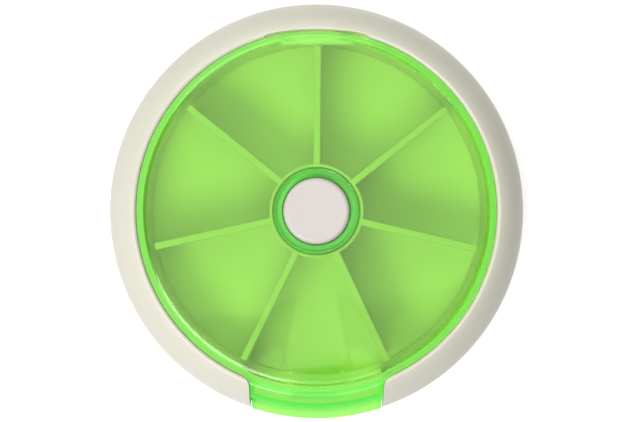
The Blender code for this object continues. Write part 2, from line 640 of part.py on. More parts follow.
def lid_front(lid):
    """Apron of the tab, its finger lip, the snap tongue and the pad under the plate."""
    low = SILL_HEIGHT + SEAT_GAP
    back = math.sqrt(BORE_RADIUS ** 2 - SPOUT_HALF ** 2) + SPOUT_ROUND
    outer_half = TAB_HALF - APRON_STEP
    inner_half = outer_half - TAB_WALL
    face = TAB_FRONT - APRON_STEP
    front = face - TAB_WALL
    corner = math.asin(outer_half / face)
    inner_corner = math.asin(inner_half / front)
    turn = -math.pi / 2
    outside = arc(0.0, 0.0, face, face, turn - corner, turn + corner, 2 * ARC_STEPS)
    inside = arc(0.0, 0.0, front, front, turn + inner_corner, turn - inner_corner, 2 * ARC_STEPS)
    plan = outside + [(outer_half, -back), (inner_half, -back)] + inside
    plan += [(-inner_half, -back), (-outer_half, -back)]
    apron = outline_solid("lid_apron", plan, low, SKIRT_BOTTOM + LID_WALL / 4)
    lip_half = TAB_HALF - LIP_SIDE
    lip_corner = math.asin((lip_half - LIP_ROUND) / CASE_RADIUS)
    lip_arc = arc(0.0, 0.0, CASE_RADIUS, CASE_RADIUS, turn - lip_corner, turn + lip_corner, 2 * ARC_STEPS)
    lip_center = (lip_half - LIP_ROUND, lip_arc[-1][1] + LIP_ROUND)
    round_right = arc(*lip_center, LIP_ROUND, LIP_ROUND, turn, 0.0, HIDDEN_STEPS)[1:]
    round_left = [(-x, y) for x, y in reversed(round_right)]
    tuck = front + TAB_WALL / 2
    tuck_corner = math.asin(lip_half / tuck)
    tuck_arc = arc(0.0, 0.0, tuck, tuck, turn + tuck_corner, turn - tuck_corner, 2 * ARC_STEPS)
    lip_points = round_left + lip_arc + round_right + tuck_arc
    lip = outline_solid("finger_lip", lip_points, LIP_BOTTOM, LIP_BOTTOM + LIP_THICK)
    tongue_front = TONGUE_INNER + TONGUE_THICK
    tongue_top = CREST_HEIGHT - LID_WALL / 2
    tongue = box("snap_tongue", (-TONGUE_HALF, -tongue_front, TONGUE_TIP),
                 (TONGUE_HALF, -TONGUE_INNER, tongue_top))
    nose_middle = TONGUE_TIP + NOSE_LIFT + NOSE_HEIGHT / 2
    nose = cross_cylinder("snap_nose", NOSE_HEIGHT / 2, -TONGUE_HALF + NOSE_REACH,
                          TONGUE_HALF - NOSE_REACH, -tongue_front + NOSE_SINK, nose_middle, 8)
    plate_under = LID_TOP - LID_WALL
    pad = box("pad_head", (-PAD_HALF, -PAD_INNER - PAD_LENGTH, plate_under - PAD_DEPTH),
              (PAD_HALF, -PAD_INNER, plate_under + PAD_DEPTH))
    stem = box("pad_stem", (-PAD_STEM_HALF, -LID_RADIUS + PAD_STEM_END, plate_under - PAD_STEM_DEPTH),
               (PAD_STEM_HALF, -PAD_INNER - PAD_LENGTH / 2, plate_under + PAD_STEM_DEPTH))
    combine(pad, "UNION", stem)
    combine(lid, "UNION", apron, lip, tongue, nose, pad)


def lid_hinge(lid):
    """Break in the skirt for the hinge, the knuckle's pocket, and the two pin ears."""
    far = LID_RADIUS + OVERRUN
    floor = HINGE_Z - SKIRT_BREAK_DROP
    skirt_break = box("skirt_break", (-SKIRT_BREAK_HALF, HINGE_Y - LID_WALL - SKIRT_WALL, 0.0),
                      (SKIRT_BREAK_HALF, far, floor))
    combine(lid, "DIFFERENCE", skirt_break)
    pocket_half = KNUCKLE_HALF + HINGE_GAP
    for side in (-1, 1):
        ends = sorted((side * pocket_half, side * EAR_END))
        ear = cross_cylinder("hinge_ear", EAR_RADIUS, ends[0], ends[1], HINGE_Y, HINGE_Z, 20)
        web = box("ear_web", (ends[0] + EAR_WEB_STEP, HINGE_Y - EAR_RADIUS + EAR_WEB_STEP, HINGE_Z),
                  (ends[1] - EAR_WEB_STEP, HINGE_Y, LID_TOP - LID_WALL))
        combine(lid, "UNION", ear)
        combine(lid, "UNION", web)
    pocket = cross_cylinder("knuckle_pocket", KNUCKLE_RADIUS + HINGE_GAP, -pocket_half, pocket_half,
                            HINGE_Y, HINGE_Z, 20)
    sweep = box("neck_sweep", (-pocket_half, HINGE_Y, 0.0), (pocket_half, far, HINGE_Z + COVER_RISE))
    bore = cross_cylinder("ear_hole", PIN_RADIUS + PIN_CLEARANCE, -EAR_END - SEAT_GAP,
                          EAR_END + SEAT_GAP, HINGE_Y, HINGE_Z)
    combine(lid, "DIFFERENCE", pocket, sweep, bore)


def make_hinge_pin(finish):
    return cross_cylinder("hinge_pin", PIN_RADIUS, -PIN_HALF, PIN_HALF, HINGE_Y, HINGE_Z, 12, PARTS, finish)


def ratchet_outline():
    """Saw teeth inside the hub, one for each compartment."""
    points = []
    for tooth in range(VANE_COUNT):
        start = tooth * PITCH
        for step in range(ARC_STEPS + 1):
            angle = start + PITCH * step / ARC_STEPS
            radius = HUB_INNER - TOOTH_DEPTH * step / ARC_STEPS
            points.append((radius * math.cos(angle), radius * math.sin(angle)))
    return points


def make_compartment_wheel(finish):
    hub_outer = HUB_INNER + HUB_WALL
    crown = HUB_WALL / 3
    profile = [(HUB_INNER + crown, VANE_TOP), (hub_outer - crown, VANE_TOP), (hub_outer, VANE_TOP - crown)]
    profile += arc(hub_outer + VANE_ROOT_FILLET, WHEEL_FLOOR_TOP + VANE_ROOT_FILLET, VANE_ROOT_FILLET,
                   VANE_ROOT_FILLET, math.pi, 1.5 * math.pi, HIDDEN_STEPS - 1)
    profile += [(WHEEL_RADIUS, WHEEL_FLOOR_TOP), (WHEEL_RADIUS, WHEEL_FLOOR), (WHEEL_BORE, WHEEL_FLOOR),
                (WHEEL_BORE, WHEEL_FLOOR_TOP), (HUB_INNER, WHEEL_FLOOR_TOP),
                (HUB_INNER, VANE_TOP - crown)]
    wheel = turned("compartment_wheel", profile, PARTS, finish)
    ring_out = HUB_INNER + HUB_WALL / 2
    middle = WHEEL_FLOOR_TOP - WHEEL_FLOOR_THICK / 2
    teeth = cylinder("ratchet_ring", ring_out, middle, WHEEL_FLOOR_TOP + TOOTH_HEIGHT, steps=RING_STEPS // 2)
    tooth_cut = outline_solid("ratchet_cut", ratchet_outline(), 0.0, LID_TOP)
    combine(teeth, "DIFFERENCE", tooth_cut)
    vanes = bmesh.new()
    inner = HUB_INNER + HUB_WALL / 2
    for index in range(VANE_COUNT):
        made = bmesh.ops.create_cube(vanes, size=1.0)["verts"]
        height = VANE_TOP - WHEEL_FLOOR_TOP + WHEEL_FLOOR_THICK / 2
        bmesh.ops.scale(vanes, verts=made, vec=(VANE_TIP - inner, VANE_THICK, height))
        bmesh.ops.translate(vanes, verts=made, vec=((VANE_TIP + inner) / 2, 0.0, VANE_TOP - height / 2))
        turn = Matrix.Rotation(math.pi / 2 - index * PITCH, 3, "Z")
        bmesh.ops.rotate(vanes, verts=made, matrix=turn)
    mesh = bpy.data.meshes.new("vanes")
    vanes.to_mesh(mesh)
    vanes.free()
    vane_tool = add_object("vanes", mesh, CUTTERS)
    round_vanes = vane_tool.modifiers.new("edges", "BEVEL")
    round_vanes.width = VANE_THICK / 8
    round_vanes.segments = 1
    combine(wheel, "UNION", vane_tool, teeth)
    notches = bmesh.new()
    for index in range(VANE_COUNT):
        made = bmesh.ops.create_uvsphere(notches, u_segments=10, v_segments=6, radius=DETENT_NOTCH)["verts"]
        angle = -math.pi / 2 + index * PITCH
        place = (DETENT_CIRCLE * math.cos(angle), DETENT_CIRCLE * math.sin(angle),
                 WHEEL_FLOOR + DETENT_NOTCH_DEPTH - DETENT_NOTCH)
        bmesh.ops.translate(notches, verts=made, vec=place)
    mesh = bpy.data.meshes.new("detent_notches")
    notches.to_mesh(mesh)
    notches.free()
    combine(wheel, "DIFFERENCE", add_object("detent_notches", mesh, CUTTERS))
    return wheel


def make_button(finish):
    cap_under = BUTTON_TOP - BUTTON_CAP
    rim = arc(BUTTON_RADIUS - BUTTON_FILLET, BUTTON_TOP - BUTTON_FILLET, BUTTON_FILLET, BUTTON_FILLET,
              math.pi / 2, 0.0, HIDDEN_STEPS)
    hub = POST_HEX_RADIUS + SEAT_GAP + WELD_DISTANCE
    profile = rim + [(BUTTON_RADIUS, BUTTON_SKIRT), (BUTTON_INNER, BUTTON_SKIRT), (BUTTON_INNER, cap_under),
                     (SLEEVE_RADIUS, cap_under), (SLEEVE_RADIUS, SLEEVE_BOTTOM), (0.0, SLEEVE_BOTTOM),
                     (0.0, BUTTON_TOP)]
    button = turned("button", profile, PARTS, finish, SMALL_STEPS)
    socket = cylinder("hex_socket", hub + SEAT_GAP / 3, 0.0, cap_under, steps=6)
    combine(button, "DIFFERENCE", socket)
    lugs = helical_bar("button_lugs", BUTTON_INNER - LUG_DEPTH, BUTTON_INNER + BUTTON_WALL / 3, LUG_HEIGHT,
                       -LUG_HALF_ANGLE, LUG_HALF_ANGLE, SLEEVE_BOTTOM, LUG_COUNT, 2)
    combine(button, "UNION", lugs)
    return button


def make_index_driver(finish):
    web_top = DRIVER_BOTTOM + DRIVER_WEB
    web_bore = POST_RADIUS + SEAT_GAP
    profile = [(DRIVER_RADIUS, DRIVER_TOP), (DRIVER_RADIUS, DRIVER_BOTTOM), (web_bore, DRIVER_BOTTOM),
               (web_bore, web_top), (DRIVER_BORE, web_top), (DRIVER_BORE, DRIVER_TOP)]
    driver = turned("index_driver", profile, PARTS, finish, SMALL_STEPS)
    pawl_low = WHEEL_FLOOR_TOP + SEAT_GAP
    for turn in (0.0, 3 * PITCH):
        start = (DRIVER_BORE + DRIVER_RADIUS) / 2
        pawl = box("pawl", (start, -PAWL_WIDTH / 2, pawl_low),
                   (PAWL_REACH, PAWL_WIDTH / 2, pawl_low + PAWL_HEIGHT), turn)
        combine(driver, "UNION", pawl)
    groove_inner = BUTTON_INNER - LUG_DEPTH - SEAT_GAP
    grooves = helical_bar("helix_grooves", groove_inner, DRIVER_RADIUS + SEAT_GAP,
                          LUG_HEIGHT + 2 * SEAT_GAP, -PITCH - LUG_HALF_ANGLE - GROOVE_END_ANGLE,
                          LUG_HALF_ANGLE + GROOVE_END_ANGLE, SLEEVE_BOTTOM, LUG_COUNT)
    combine(driver, "DIFFERENCE", grooves)
    return driver


def make_center_post(finish):
    foot_bore = POST_BORE + WELD_DISTANCE * HIDDEN_STEPS
    profile = [(POST_COLLAR_RADIUS, POST_COLLAR_TOP), (POST_COLLAR_RADIUS, POST_COLLAR_BOTTOM),
               (POST_RADIUS, POST_COLLAR_BOTTOM), (POST_RADIUS, DRIVER_BOTTOM), (foot_bore, DRIVER_BOTTOM),
               (foot_bore, POST_COLLAR_TOP)]
    post = turned("center_post", profile, PARTS, finish, SMALL_STEPS)
    middle = (POST_COLLAR_BOTTOM + POST_COLLAR_TOP) / 2
    shaft = cylinder("hex_shaft", POST_HEX_RADIUS, middle, POST_TOP, steps=6)
    bore = cylinder("post_bore", POST_BORE, 0.0, POST_BORE_TOP)
    combine(shaft, "DIFFERENCE", bore)
    combine(post, "UNION", shaft)
    return post


def make_screw(name, place, shank, head, low, top, tip, finish):
    """A pan screw that stands head down, with a cross recess."""
    profile = [(0.0, tip), (shank / 2, tip), (shank, tip - shank), (shank, top), (head, top), (head, low),
               (0.0, low)]
    screw = turned(name, profile, PARTS, finish, PIN_STEPS)
    screw.location = (place[0], place[1], 0.0)
    reach = head * SCREW_SLOT_SHARE
    slot_low = (place[0] - reach, place[1] - SCREW_SLOT / 2, low - OVERRUN)
    slot_high = (place[0] + reach, place[1] + SCREW_SLOT / 2, low + (top - low) / 2)
    slot = box(name + "_slot", slot_low, slot_high)
    cross_low = (place[0] - SCREW_SLOT / 2, place[1] - reach, low - OVERRUN)
    cross_high = (place[0] + SCREW_SLOT / 2, place[1] + reach, low + (top - low) / 2)
    cross = box(name + "_cross", cross_low, cross_high)
    combine(slot, "UNION", cross)
    combine(screw, "DIFFERENCE", slot)
    return screw


def make_return_spring(finish):
    """One round wire from the post's collar to the button's sleeve."""
    low = POST_COLLAR_TOP + SEAT_GAP + SPRING_WIRE
    high = SLEEVE_BOTTOM - SEAT_GAP - SPRING_WIRE
    per_turn = 10
    count = SPRING_TURNS * per_turn
    curve = bpy.data.curves.new("return_spring", "CURVE")
    curve.dimensions = "3D"
    curve.bevel_depth = SPRING_WIRE
    curve.bevel_resolution = 1
    curve.use_fill_caps = True
    spline = curve.splines.new("POLY")
    spline.points.add(count)
    places = []
    for step in range(count + 1):
        angle = 2 * math.pi * step / per_turn
        height = low + (high - low) * step / count
        places.append(Vector((SPRING_RADIUS * math.cos(angle), SPRING_RADIUS * math.sin(angle), height)))
        spline.points[step].co = (*places[-1], 1.0)
    spring = bpy.data.objects.new("return_spring", curve)
    PARTS.objects.link(spring)
    curve.materials.append(finish)
    gap = min((a - b).length for i, a in enumerate(places) for b in places[i + per_turn // 2:])
    print("return_spring: least gap to itself", round((gap - 2 * SPRING_WIRE) / MM, 2), "mm")
    return spring


def make_detent_leaf(finish):
    """A bent strip on the base floor whose bump stands under the wheel's notches."""
    low = FLOOR_TOP - LEAF_POCKET + SEAT_GAP
    top = WHEEL_FLOOR - SEAT_GAP
    half = LEAF_LENGTH / 2
    bump_half = LEAF_WIDTH / 2
    flat = [(-half, low), (half, low), (half, low + LEAF_THICK)]
    bump = [(bump_half, low + LEAF_THICK), (bump_half / 3, top), (-bump_half / 3, top),
            (-bump_half, low + LEAF_THICK)]
    strip = outline_solid("detent_leaf", flat + bump + [(-half, low + LEAF_THICK)], -LEAF_WIDTH / 2,
                          LEAF_WIDTH / 2, PARTS, finish)
    strip.data.transform(Matrix.Translation(strip.location))
    strip.location = (0.0, 0.0, 0.0)
    strip.data.transform(Matrix.Rotation(math.pi / 2, 4, "X"))
    strip.location = (0.0, -DETENT_CIRCLE, 0.0)
    return strip


WHITE_SHELL = material("white_shell", (0.80, 0.78, 0.73), 0.32)
WHITE_WHEEL = material("white_wheel", (0.84, 0.83, 0.79), 0.38)
WHITE_BUTTON = material("white_button", (0.82, 0.78, 0.76), 0.35)
GREEN_CLEAR = material("green_clear", (0.35, 0.85, 0.18), 0.12, alpha=0.6)
STEEL = material("steel", (0.62, 0.62, 0.60), 0.3, metallic=1.0)

base_shell = make_base_shell(WHITE_SHELL)
bezel_ring = make_bezel_ring(WHITE_SHELL)
lid = make_lid(GREEN_CLEAR)
hinge_pin = make_hinge_pin(STEEL)
compartment_wheel = make_compartment_wheel(WHITE_WHEEL)
button = make_button(WHITE_BUTTON)
index_driver = make_index_driver(WHITE_WHEEL)
center_post = make_center_post(WHITE_WHEEL)
post_head_low = CENTER_WELL_TOP - SEAT_GAP - POST_SCREW_HEAD_HEIGHT
post_screw = make_screw("post_screw", (0.0, 0.0), POST_SCREW_SHANK, POST_SCREW_HEAD, post_head_low,
                        CENTER_WELL_TOP - SEAT_GAP, POST_SCREW_TIP, STEEL)
return_spring = make_return_spring(STEEL)
detent_leaf = make_detent_leaf(STEEL)
for index, place in screw_places():
    make_screw("case_screw_" + str(index + 1), place, SCREW_SHANK, SCREW_HEAD,
               SCREW_HEAD_TOP - SCREW_HEAD_HEIGHT, SCREW_HEAD_TOP, SCREW_TIP, STEEL)
for shell in PARTS.objects:
    if shell.type == "MESH":
        smooth(shell)

# Joint axes: the lid turns about the hinge line, the wheel, the button and the driver about Z
hinge_axis = bpy.data.objects.new("lid_hinge_axis", None)
PARTS.objects.link(hinge_axis)
hinge_axis.location = (0.0, HINGE_Y, HINGE_Z)
hinge_axis.empty_display_size = LID_WALL
lid.parent = hinge_axis
lid.matrix_parent_inverse = Matrix.Translation(-hinge_axis.location)
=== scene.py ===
# %% [markdown]
# The imported model is the fixed frame. Every piece below is made in its place in that frame,
# in metres, and rides on one of its bodies. The box of the frame is kept, and gives the case's radius.

# %% Load the frame
import math

import bmesh
import bpy
from mathutils import Matrix, Vector


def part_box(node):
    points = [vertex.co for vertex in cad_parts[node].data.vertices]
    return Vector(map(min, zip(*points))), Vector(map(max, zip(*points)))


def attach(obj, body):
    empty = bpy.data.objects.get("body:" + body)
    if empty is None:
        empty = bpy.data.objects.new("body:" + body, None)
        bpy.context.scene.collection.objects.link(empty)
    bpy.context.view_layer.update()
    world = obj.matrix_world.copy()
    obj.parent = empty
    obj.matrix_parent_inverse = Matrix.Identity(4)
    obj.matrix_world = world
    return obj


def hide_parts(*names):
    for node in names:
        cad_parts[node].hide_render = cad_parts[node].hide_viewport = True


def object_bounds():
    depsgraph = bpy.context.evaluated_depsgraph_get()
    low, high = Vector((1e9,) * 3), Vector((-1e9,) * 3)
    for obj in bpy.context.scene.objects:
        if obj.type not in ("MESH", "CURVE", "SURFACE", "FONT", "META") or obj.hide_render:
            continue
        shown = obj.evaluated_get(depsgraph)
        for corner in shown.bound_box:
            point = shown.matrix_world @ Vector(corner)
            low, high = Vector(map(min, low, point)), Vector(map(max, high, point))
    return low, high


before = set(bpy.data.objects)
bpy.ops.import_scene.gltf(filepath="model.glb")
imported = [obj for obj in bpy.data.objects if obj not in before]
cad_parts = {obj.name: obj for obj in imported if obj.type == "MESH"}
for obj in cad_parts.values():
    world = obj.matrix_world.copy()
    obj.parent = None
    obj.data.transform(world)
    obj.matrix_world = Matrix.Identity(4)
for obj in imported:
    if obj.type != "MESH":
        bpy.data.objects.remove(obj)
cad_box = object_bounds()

MM = 0.001
TURN = 2 * math.pi
FRONT = -math.pi / 2

# %% [markdown]
# The organizer lies on a white table and is seen from straight above, on its own axis. A long
# lens 400 mm above the table shows the walls with a little perspective, as the picture does.
# The object's middle is the picture's middle, so the camera needs no shift.

# %% Camera
CAMERA_HEIGHT = 400.0 * MM
CAMERA_LENS = 101.9
SENSOR_WIDTH = 36.0

camera_data = bpy.data.cameras.new("camera")
camera_data.lens = CAMERA_LENS
camera_data.sensor_width = SENSOR_WIDTH
camera = bpy.data.objects.new("camera", camera_data)
camera.location = (0.0, 0.0, CAMERA_HEIGHT)
bpy.context.scene.collection.objects.link(camera)
bpy.context.scene.camera = camera
print("camera", CAMERA_HEIGHT, "m above the table")

# %% [markdown]
# The light in the picture is soft and a little warm. A broad key lamp at the lower left makes
# the streak on the lid's rounded shoulder. A big lamp overhead lights the floor of the wheel, and
# the flat plate mirrors it as an even, pale veil. The other lamps fill in the sides, and a tiny
# one leaves a glint. Area lamps suit this, because their size sets how soft a shadow or a
# reflection is. Each row says where a lamp stands and at what height over the middle it aims.

# %% Lamps
LAMPS = (
    # name, place, height of the aim, width and depth, watts, tint
    ("key_lamp", (-0.195, -0.25, 0.45), 0.01, (0.34, 0.17), 1.6, (1.0, 0.99, 0.96)),
    ("front_lamp", (0.0, -0.30, 0.55), 0.0, (0.30, 0.30), 0.62, (1.0, 0.99, 0.88)),
    ("back_left_lamp", (-0.25, 0.38, 0.36), 0.0, (0.30, 0.30), 0.78, (1.0, 0.99, 0.86)),
    ("top_lamp", (-0.02, 0.165, 0.75), 0.0, (0.55, 0.55), 1.75, (1.0, 0.99, 0.86)),
    ("low_lamp", (-0.40, -0.36, 0.16), 0.01, (0.40, 0.05), 0.10, (1.0, 1.0, 0.98)),
    ("back_lamp", (0.02, 0.50, 0.26), 0.01, (0.30, 0.10), 0.28, (1.0, 0.99, 0.90)),
    ("glint_lamp", (0.23, 0.21, 0.42), 0.01, (0.07, 0.03), 0.08, (1.0, 1.0, 0.98)),
)


def area_lamp(name, place, aim_height, size, watts, tint):
    lamp = bpy.data.lights.new(name, "AREA")
    lamp.shape = "RECTANGLE"
    lamp.size, lamp.size_y = size
    lamp.energy = watts
    lamp.color = tint
    made = bpy.data.objects.new(name, lamp)
    made.location = place
    aim = Vector((0.0, 0.0, aim_height)) - Vector(place)
    made.rotation_euler = aim.to_track_quat("-Z", "Y").to_euler()
    bpy.context.scene.collection.objects.link(made)


for row in LAMPS:
    area_lamp(*row)
bpy.context.scene.view_settings.view_transform = "Standard"
print("lamps:", len(LAMPS))

# %% [markdown]
# Shader maths reads best as plain expressions. A small class wraps a socket, and its operators
# add the Math nodes. Every other node comes from one method, which first sets the node's own
# settings and then its sockets. A socket goes by its number or by its name.

# %% A small language for materials


class Sock:
    """A socket whose arithmetic adds Math nodes."""

    def __init__(self, tree, socket):
        self.tree = tree
        self.socket = socket

    def _math(self, operation, left, right):
        return self.tree.node("ShaderNodeMath", {"operation": operation}, {0: left, 1: right})

    def __add__(self, other):
        return self._math("ADD", self, other)

    def __radd__(self, other):
        return self._math("ADD", other, self)

    def __sub__(self, other):
        return self._math("SUBTRACT", self, other)

    def __rsub__(self, other):
        return self._math("SUBTRACT", other, self)

    def __mul__(self, other):
        return self._math("MULTIPLY", self, other)

    def __rmul__(self, other):
        return self._math("MULTIPLY", other, self)


class Tree:
    """An emptied node tree of a material or a world."""

    def __init__(self, owner):
        owner.use_nodes = True
        self.nodes = owner.node_tree.nodes
        self.links = owner.node_tree.links
        self.nodes.clear()

    def node(self, kind, settings=None, inputs=None, output=0):
        made = self.nodes.new(kind)
        for key, value in (settings or {}).items():
            setattr(made, key, value)
        for key, value in (inputs or {}).items():
            if isinstance(value, Sock):
                self.links.new(value.socket, made.inputs[key])
            else:
                made.inputs[key].default_value = value
        return Sock(self, made.outputs[output]) if made.outputs else None


print("operators of a socket: plus, minus and times")

# %% [markdown]
# A few words of that language come up again and again: a place on the object, a cloudy pattern
# of a given fineness, a mix of two colours, and a question about the ray of light. Places are read
# in the object's own coordinates, so that a finish stays on its piece when the piece moves.

# %% Common words
COLOR_A, COLOR_B, COLOR_OUT = 6, 7, 2


def paint(red, green, blue):
    return (red, green, blue, 1.0)


def object_place(tree):
    return tree.node("ShaderNodeTexCoord", output="Object")


def along_axis(tree, place, axis):
    return tree.node("ShaderNodeSeparateXYZ", inputs={0: place}, output=axis)


def axis_distance(tree, place):
    """How far a place is from the object's upright axis."""
    flat = tree.node("ShaderNodeVectorMath", {"operation": "MULTIPLY"},
                     {0: place, 1: (1.0, 1.0, 0.0)})
    return tree.node("ShaderNodeVectorMath", {"operation": "LENGTH"}, {0: flat}, output="Value")


def clouds(tree, place, scale, detail):
    return tree.node("ShaderNodeTexNoise",
                     inputs={"Vector": place, "Scale": scale, "Detail": detail})


def bump(tree, height, strength, distance):
    return tree.node("ShaderNodeBump",
                     inputs={"Height": height, "Strength": strength, "Distance": distance})


def mix_color(tree, factor, first, second):
    return tree.node("ShaderNodeMix", {"data_type": "RGBA"},
                     {0: factor, COLOR_A: first, COLOR_B: second}, output=COLOR_OUT)


def mix_shader(tree, factor, first, second):
    return tree.node("ShaderNodeMixShader", inputs={0: factor, 1: first, 2: second})


def ray(tree, kind):
    """1 for one kind of ray, such as Camera, Shadow or Diffuse, and 0 for the others."""
    return tree.node("ShaderNodeLightPath", output="Is " + kind + " Ray")


print("color sockets of a mix:", COLOR_A, COLOR_B, COLOR_OUT)

# %% [markdown]
# The world is the room around the table. The camera sees it as plain white, while it lights the
# object only faintly, because a bright world would wash out the shade between the vanes.

# %% World
ROOM_LIGHT = 0.05

world = bpy.data.worlds.new("studio")
bpy.context.scene.world = world
room = Tree(world)
backdrop = room.node("ShaderNodeBackground",
                     inputs={"Color": paint(1.0, 1.0, 1.0), "Strength": 1.0})
around = room.node("ShaderNodeBackground",
                   inputs={"Color": paint(0.97, 0.98, 1.0), "Strength": ROOM_LIGHT})
room.node("ShaderNodeOutputWorld",
          inputs={"Surface": mix_shader(room, ray(room, "Camera"), around, backdrop)})
print("room light", ROOM_LIGHT)

# %% [markdown]
# Almost every visible piece is a turned shape. Its half section is a list of points, and one
# full spin about Z with merged ends makes the closed skin. Plans such as the spout's opening are
# flat faces pulled up into prisms. Both start from a few points, most of them on arcs.

# %% Turned shapes and prisms
RING_STEPS = 160
MERGE = 0.001 * MM


def arc(center_x, center_y, radius_x, radius_y, start, end, steps=8):
    points = []
    for step in range(steps + 1):
        angle = start + (end - start) * step / steps
        points.append((center_x + radius_x * math.cos(angle), center_y + radius_y * math.sin(angle)))
    return points


def finished(name, shape, finish=None):
    """The bmesh as an object at the origin, with its faces turned outwards."""
    bmesh.ops.remove_doubles(shape, verts=shape.verts, dist=MERGE)
    bmesh.ops.recalc_face_normals(shape, faces=shape.faces)
    mesh = bpy.data.meshes.new(name)
    shape.to_mesh(mesh)
    shape.free()
    made = bpy.data.objects.new(name, mesh)
    bpy.context.scene.collection.objects.link(made)
    if finish:
        mesh.materials.append(finish)
    return made


def turned(name, section, finish=None, steps=RING_STEPS):
    """A closed section of (radius, height) spun about Z."""
    shape = bmesh.new()
    verts = [shape.verts.new((radius, 0.0, height)) for radius, height in section]
    edges = [shape.edges.new((verts[i - 1], verts[i])) for i in range(len(verts))]
    bmesh.ops.spin(shape, geom=verts + edges, cent=(0, 0, 0), axis=(0, 0, 1), angle=TURN,
                   steps=steps, use_merge=True, use_duplicate=False)
    return finished(name, shape, finish)


def prism(name, plan, low, high):
    """A flat plan pulled up from one height to another."""
    shape = bmesh.new()
    face = shape.faces.new([shape.verts.new((x, y, low)) for x, y in plan])
    pulled = bmesh.ops.extrude_face_region(shape, geom=[face])
    top = [item for item in pulled["geom"] if isinstance(item, bmesh.types.BMVert)]
    bmesh.ops.translate(shape, verts=top, vec=(0.0, 0.0, high - low))
    return finished(name, shape)


print("a full turn has", RING_STEPS, "steps")

# %% [markdown]
# The rest is made of boxes and cylinders. A box is a unit cube scaled between two corners. Pins
# and holes are cylinders, upright or along X, since the hinge's axis lies along X.

# %% Blocks and rods
PIN_STEPS = 32


def block(name, low, high):
    """A box from one corner to the opposite one."""
    shape = bmesh.new()
    bmesh.ops.create_cube(shape, size=1.0)
    bmesh.ops.scale(shape, verts=shape.verts, vec=[b - a for a, b in zip(low, high)])
    bmesh.ops.translate(shape, verts=shape.verts, vec=[(a + b) / 2 for a, b in zip(low, high)])
    return finished(name, shape)


def cylinder(radius, length, steps):
    shape = bmesh.new()
    bmesh.ops.create_cone(shape, cap_ends=True, segments=steps, radius1=radius, radius2=radius,
                          depth=length)
    return shape


def rod(name, radius, low, high, center=(0.0, 0.0), steps=PIN_STEPS):
    """An upright cylinder."""
    shape = cylinder(radius, high - low, steps)
    bmesh.ops.translate(shape, verts=shape.verts, vec=(center[0], center[1], (low + high) / 2))
    return finished(name, shape)


def cross_rod(name, radius, start, end, center_y, center_z, steps=PIN_STEPS):
    """A cylinder that lies along X."""
    shape = cylinder(radius, end - start, steps)
    bmesh.ops.rotate(shape, verts=shape.verts, matrix=Matrix.Rotation(math.pi / 2, 3, "Y"))
    bmesh.ops.translate(shape, verts=shape.verts, vec=((start + end) / 2, center_y, center_z))
    return finished(name, shape)


print("a pin has", PIN_STEPS, "sides")

# %% [markdown]
# Exact Booleans cut the openings and join the small parts. Where two surfaces lie in one plane
# they can leave a tear, so each result has its doubles merged and its torn edges filled. A
# finished piece gets smooth shading with sharp edges, and normals weighted by face area, so
# that the wide faces stay calm next to narrow fillets.

# %% Booleans and dressing
BOOLEAN_MERGE = 0.004 * MM
SHARP_ANGLE = math.radians(32.0)


def mended(mesh):
    """The mesh with its doubles merged and its torn edges filled."""
    shape = bmesh.new()
    shape.from_mesh(mesh)
    bmesh.ops.remove_doubles(shape, verts=shape.verts, dist=BOOLEAN_MERGE)
    torn = [edge for edge in shape.edges if len(edge.link_faces) == 1]
    if torn:
        bmesh.ops.holes_fill(shape, edges=torn, sides=0)
    shape.to_mesh(mesh)
    shape.free()
    return mesh


def combine(target, operation, *tools):
    """Applies exact Booleans to the target and removes the tools."""
    for tool in tools:
        step = target.modifiers.new(tool.name, "BOOLEAN")
        step.operation = operation
        step.solver = "EXACT"
        step.object = tool
        bpy.context.view_layer.update()
        seen = target.evaluated_get(bpy.context.evaluated_depsgraph_get())
        mesh = mended(bpy.data.meshes.new_from_object(seen))
        target.modifiers.clear()
        old = target.data
        target.data = mesh
        mesh.name = old.name
        bpy.data.meshes.remove(old)
        bpy.data.objects.remove(tool)
    return target


def open_edges(mesh):
    shape = bmesh.new()
    shape.from_mesh(mesh)
    count = sum(len(edge.link_faces) != 2 for edge in shape.edges)
    shape.free()
    return count


def dress(piece, body, node):
    """Smooth shading, the body it rides on and the node it stands for."""
    piece.data.shade_smooth()
    piece.data.set_sharp_from_angle(angle=SHARP_ANGLE)
    weighted = piece.modifiers.new("weighted_normals", "WEIGHTED_NORMAL")
    weighted.weight = 100
    weighted.keep_sharp = True
    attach(piece, body)
    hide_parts(node)
    print(piece.name, len(piece.data.polygons), "faces,", open_edges(piece.data), "open edges")


print("sharp from", round(math.degrees(SHARP_ANGLE)), "degrees")

# %% [markdown]
# The case is two shells that meet at the widest place. Their outside is one smooth round: a
# quarter ellipse below the parting line and a flatter one above it. The same few sizes give the
# lid and the well, so they are set once here, with the radii worked out from the outside in.

# %% Sizes of the case
CASE_RADIUS = cad_box[1][0]
CASE_WALL = 1.8 * MM
PARTING_HEIGHT = 9.0 * MM
PARTING_GAP = 0.16 * MM
EDGE_ROUND = 0.25 * MM
ROUND_WIDTH = 8.5 * MM
ROUND_STEPS = 26
CREST_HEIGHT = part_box("bezel_ring")[1][2]
CREST_RADIUS = CASE_RADIUS - 5.85 * MM
CREST_FILLET = 0.8 * MM
LEDGE_HEIGHT = 15.5 * MM
WELL_RADIUS = 36.9 * MM
WELL_BACK = 38.3 * MM
WELL_FOOT = 2.95 * MM
SPOUT_HALF = 14.35 * MM
SPOUT_ROUND = 3.0 * MM
CHEEK_WALL = 1.4 * MM
SEAT_GAP = 0.3 * MM
OVERRUN = 5.0 * MM

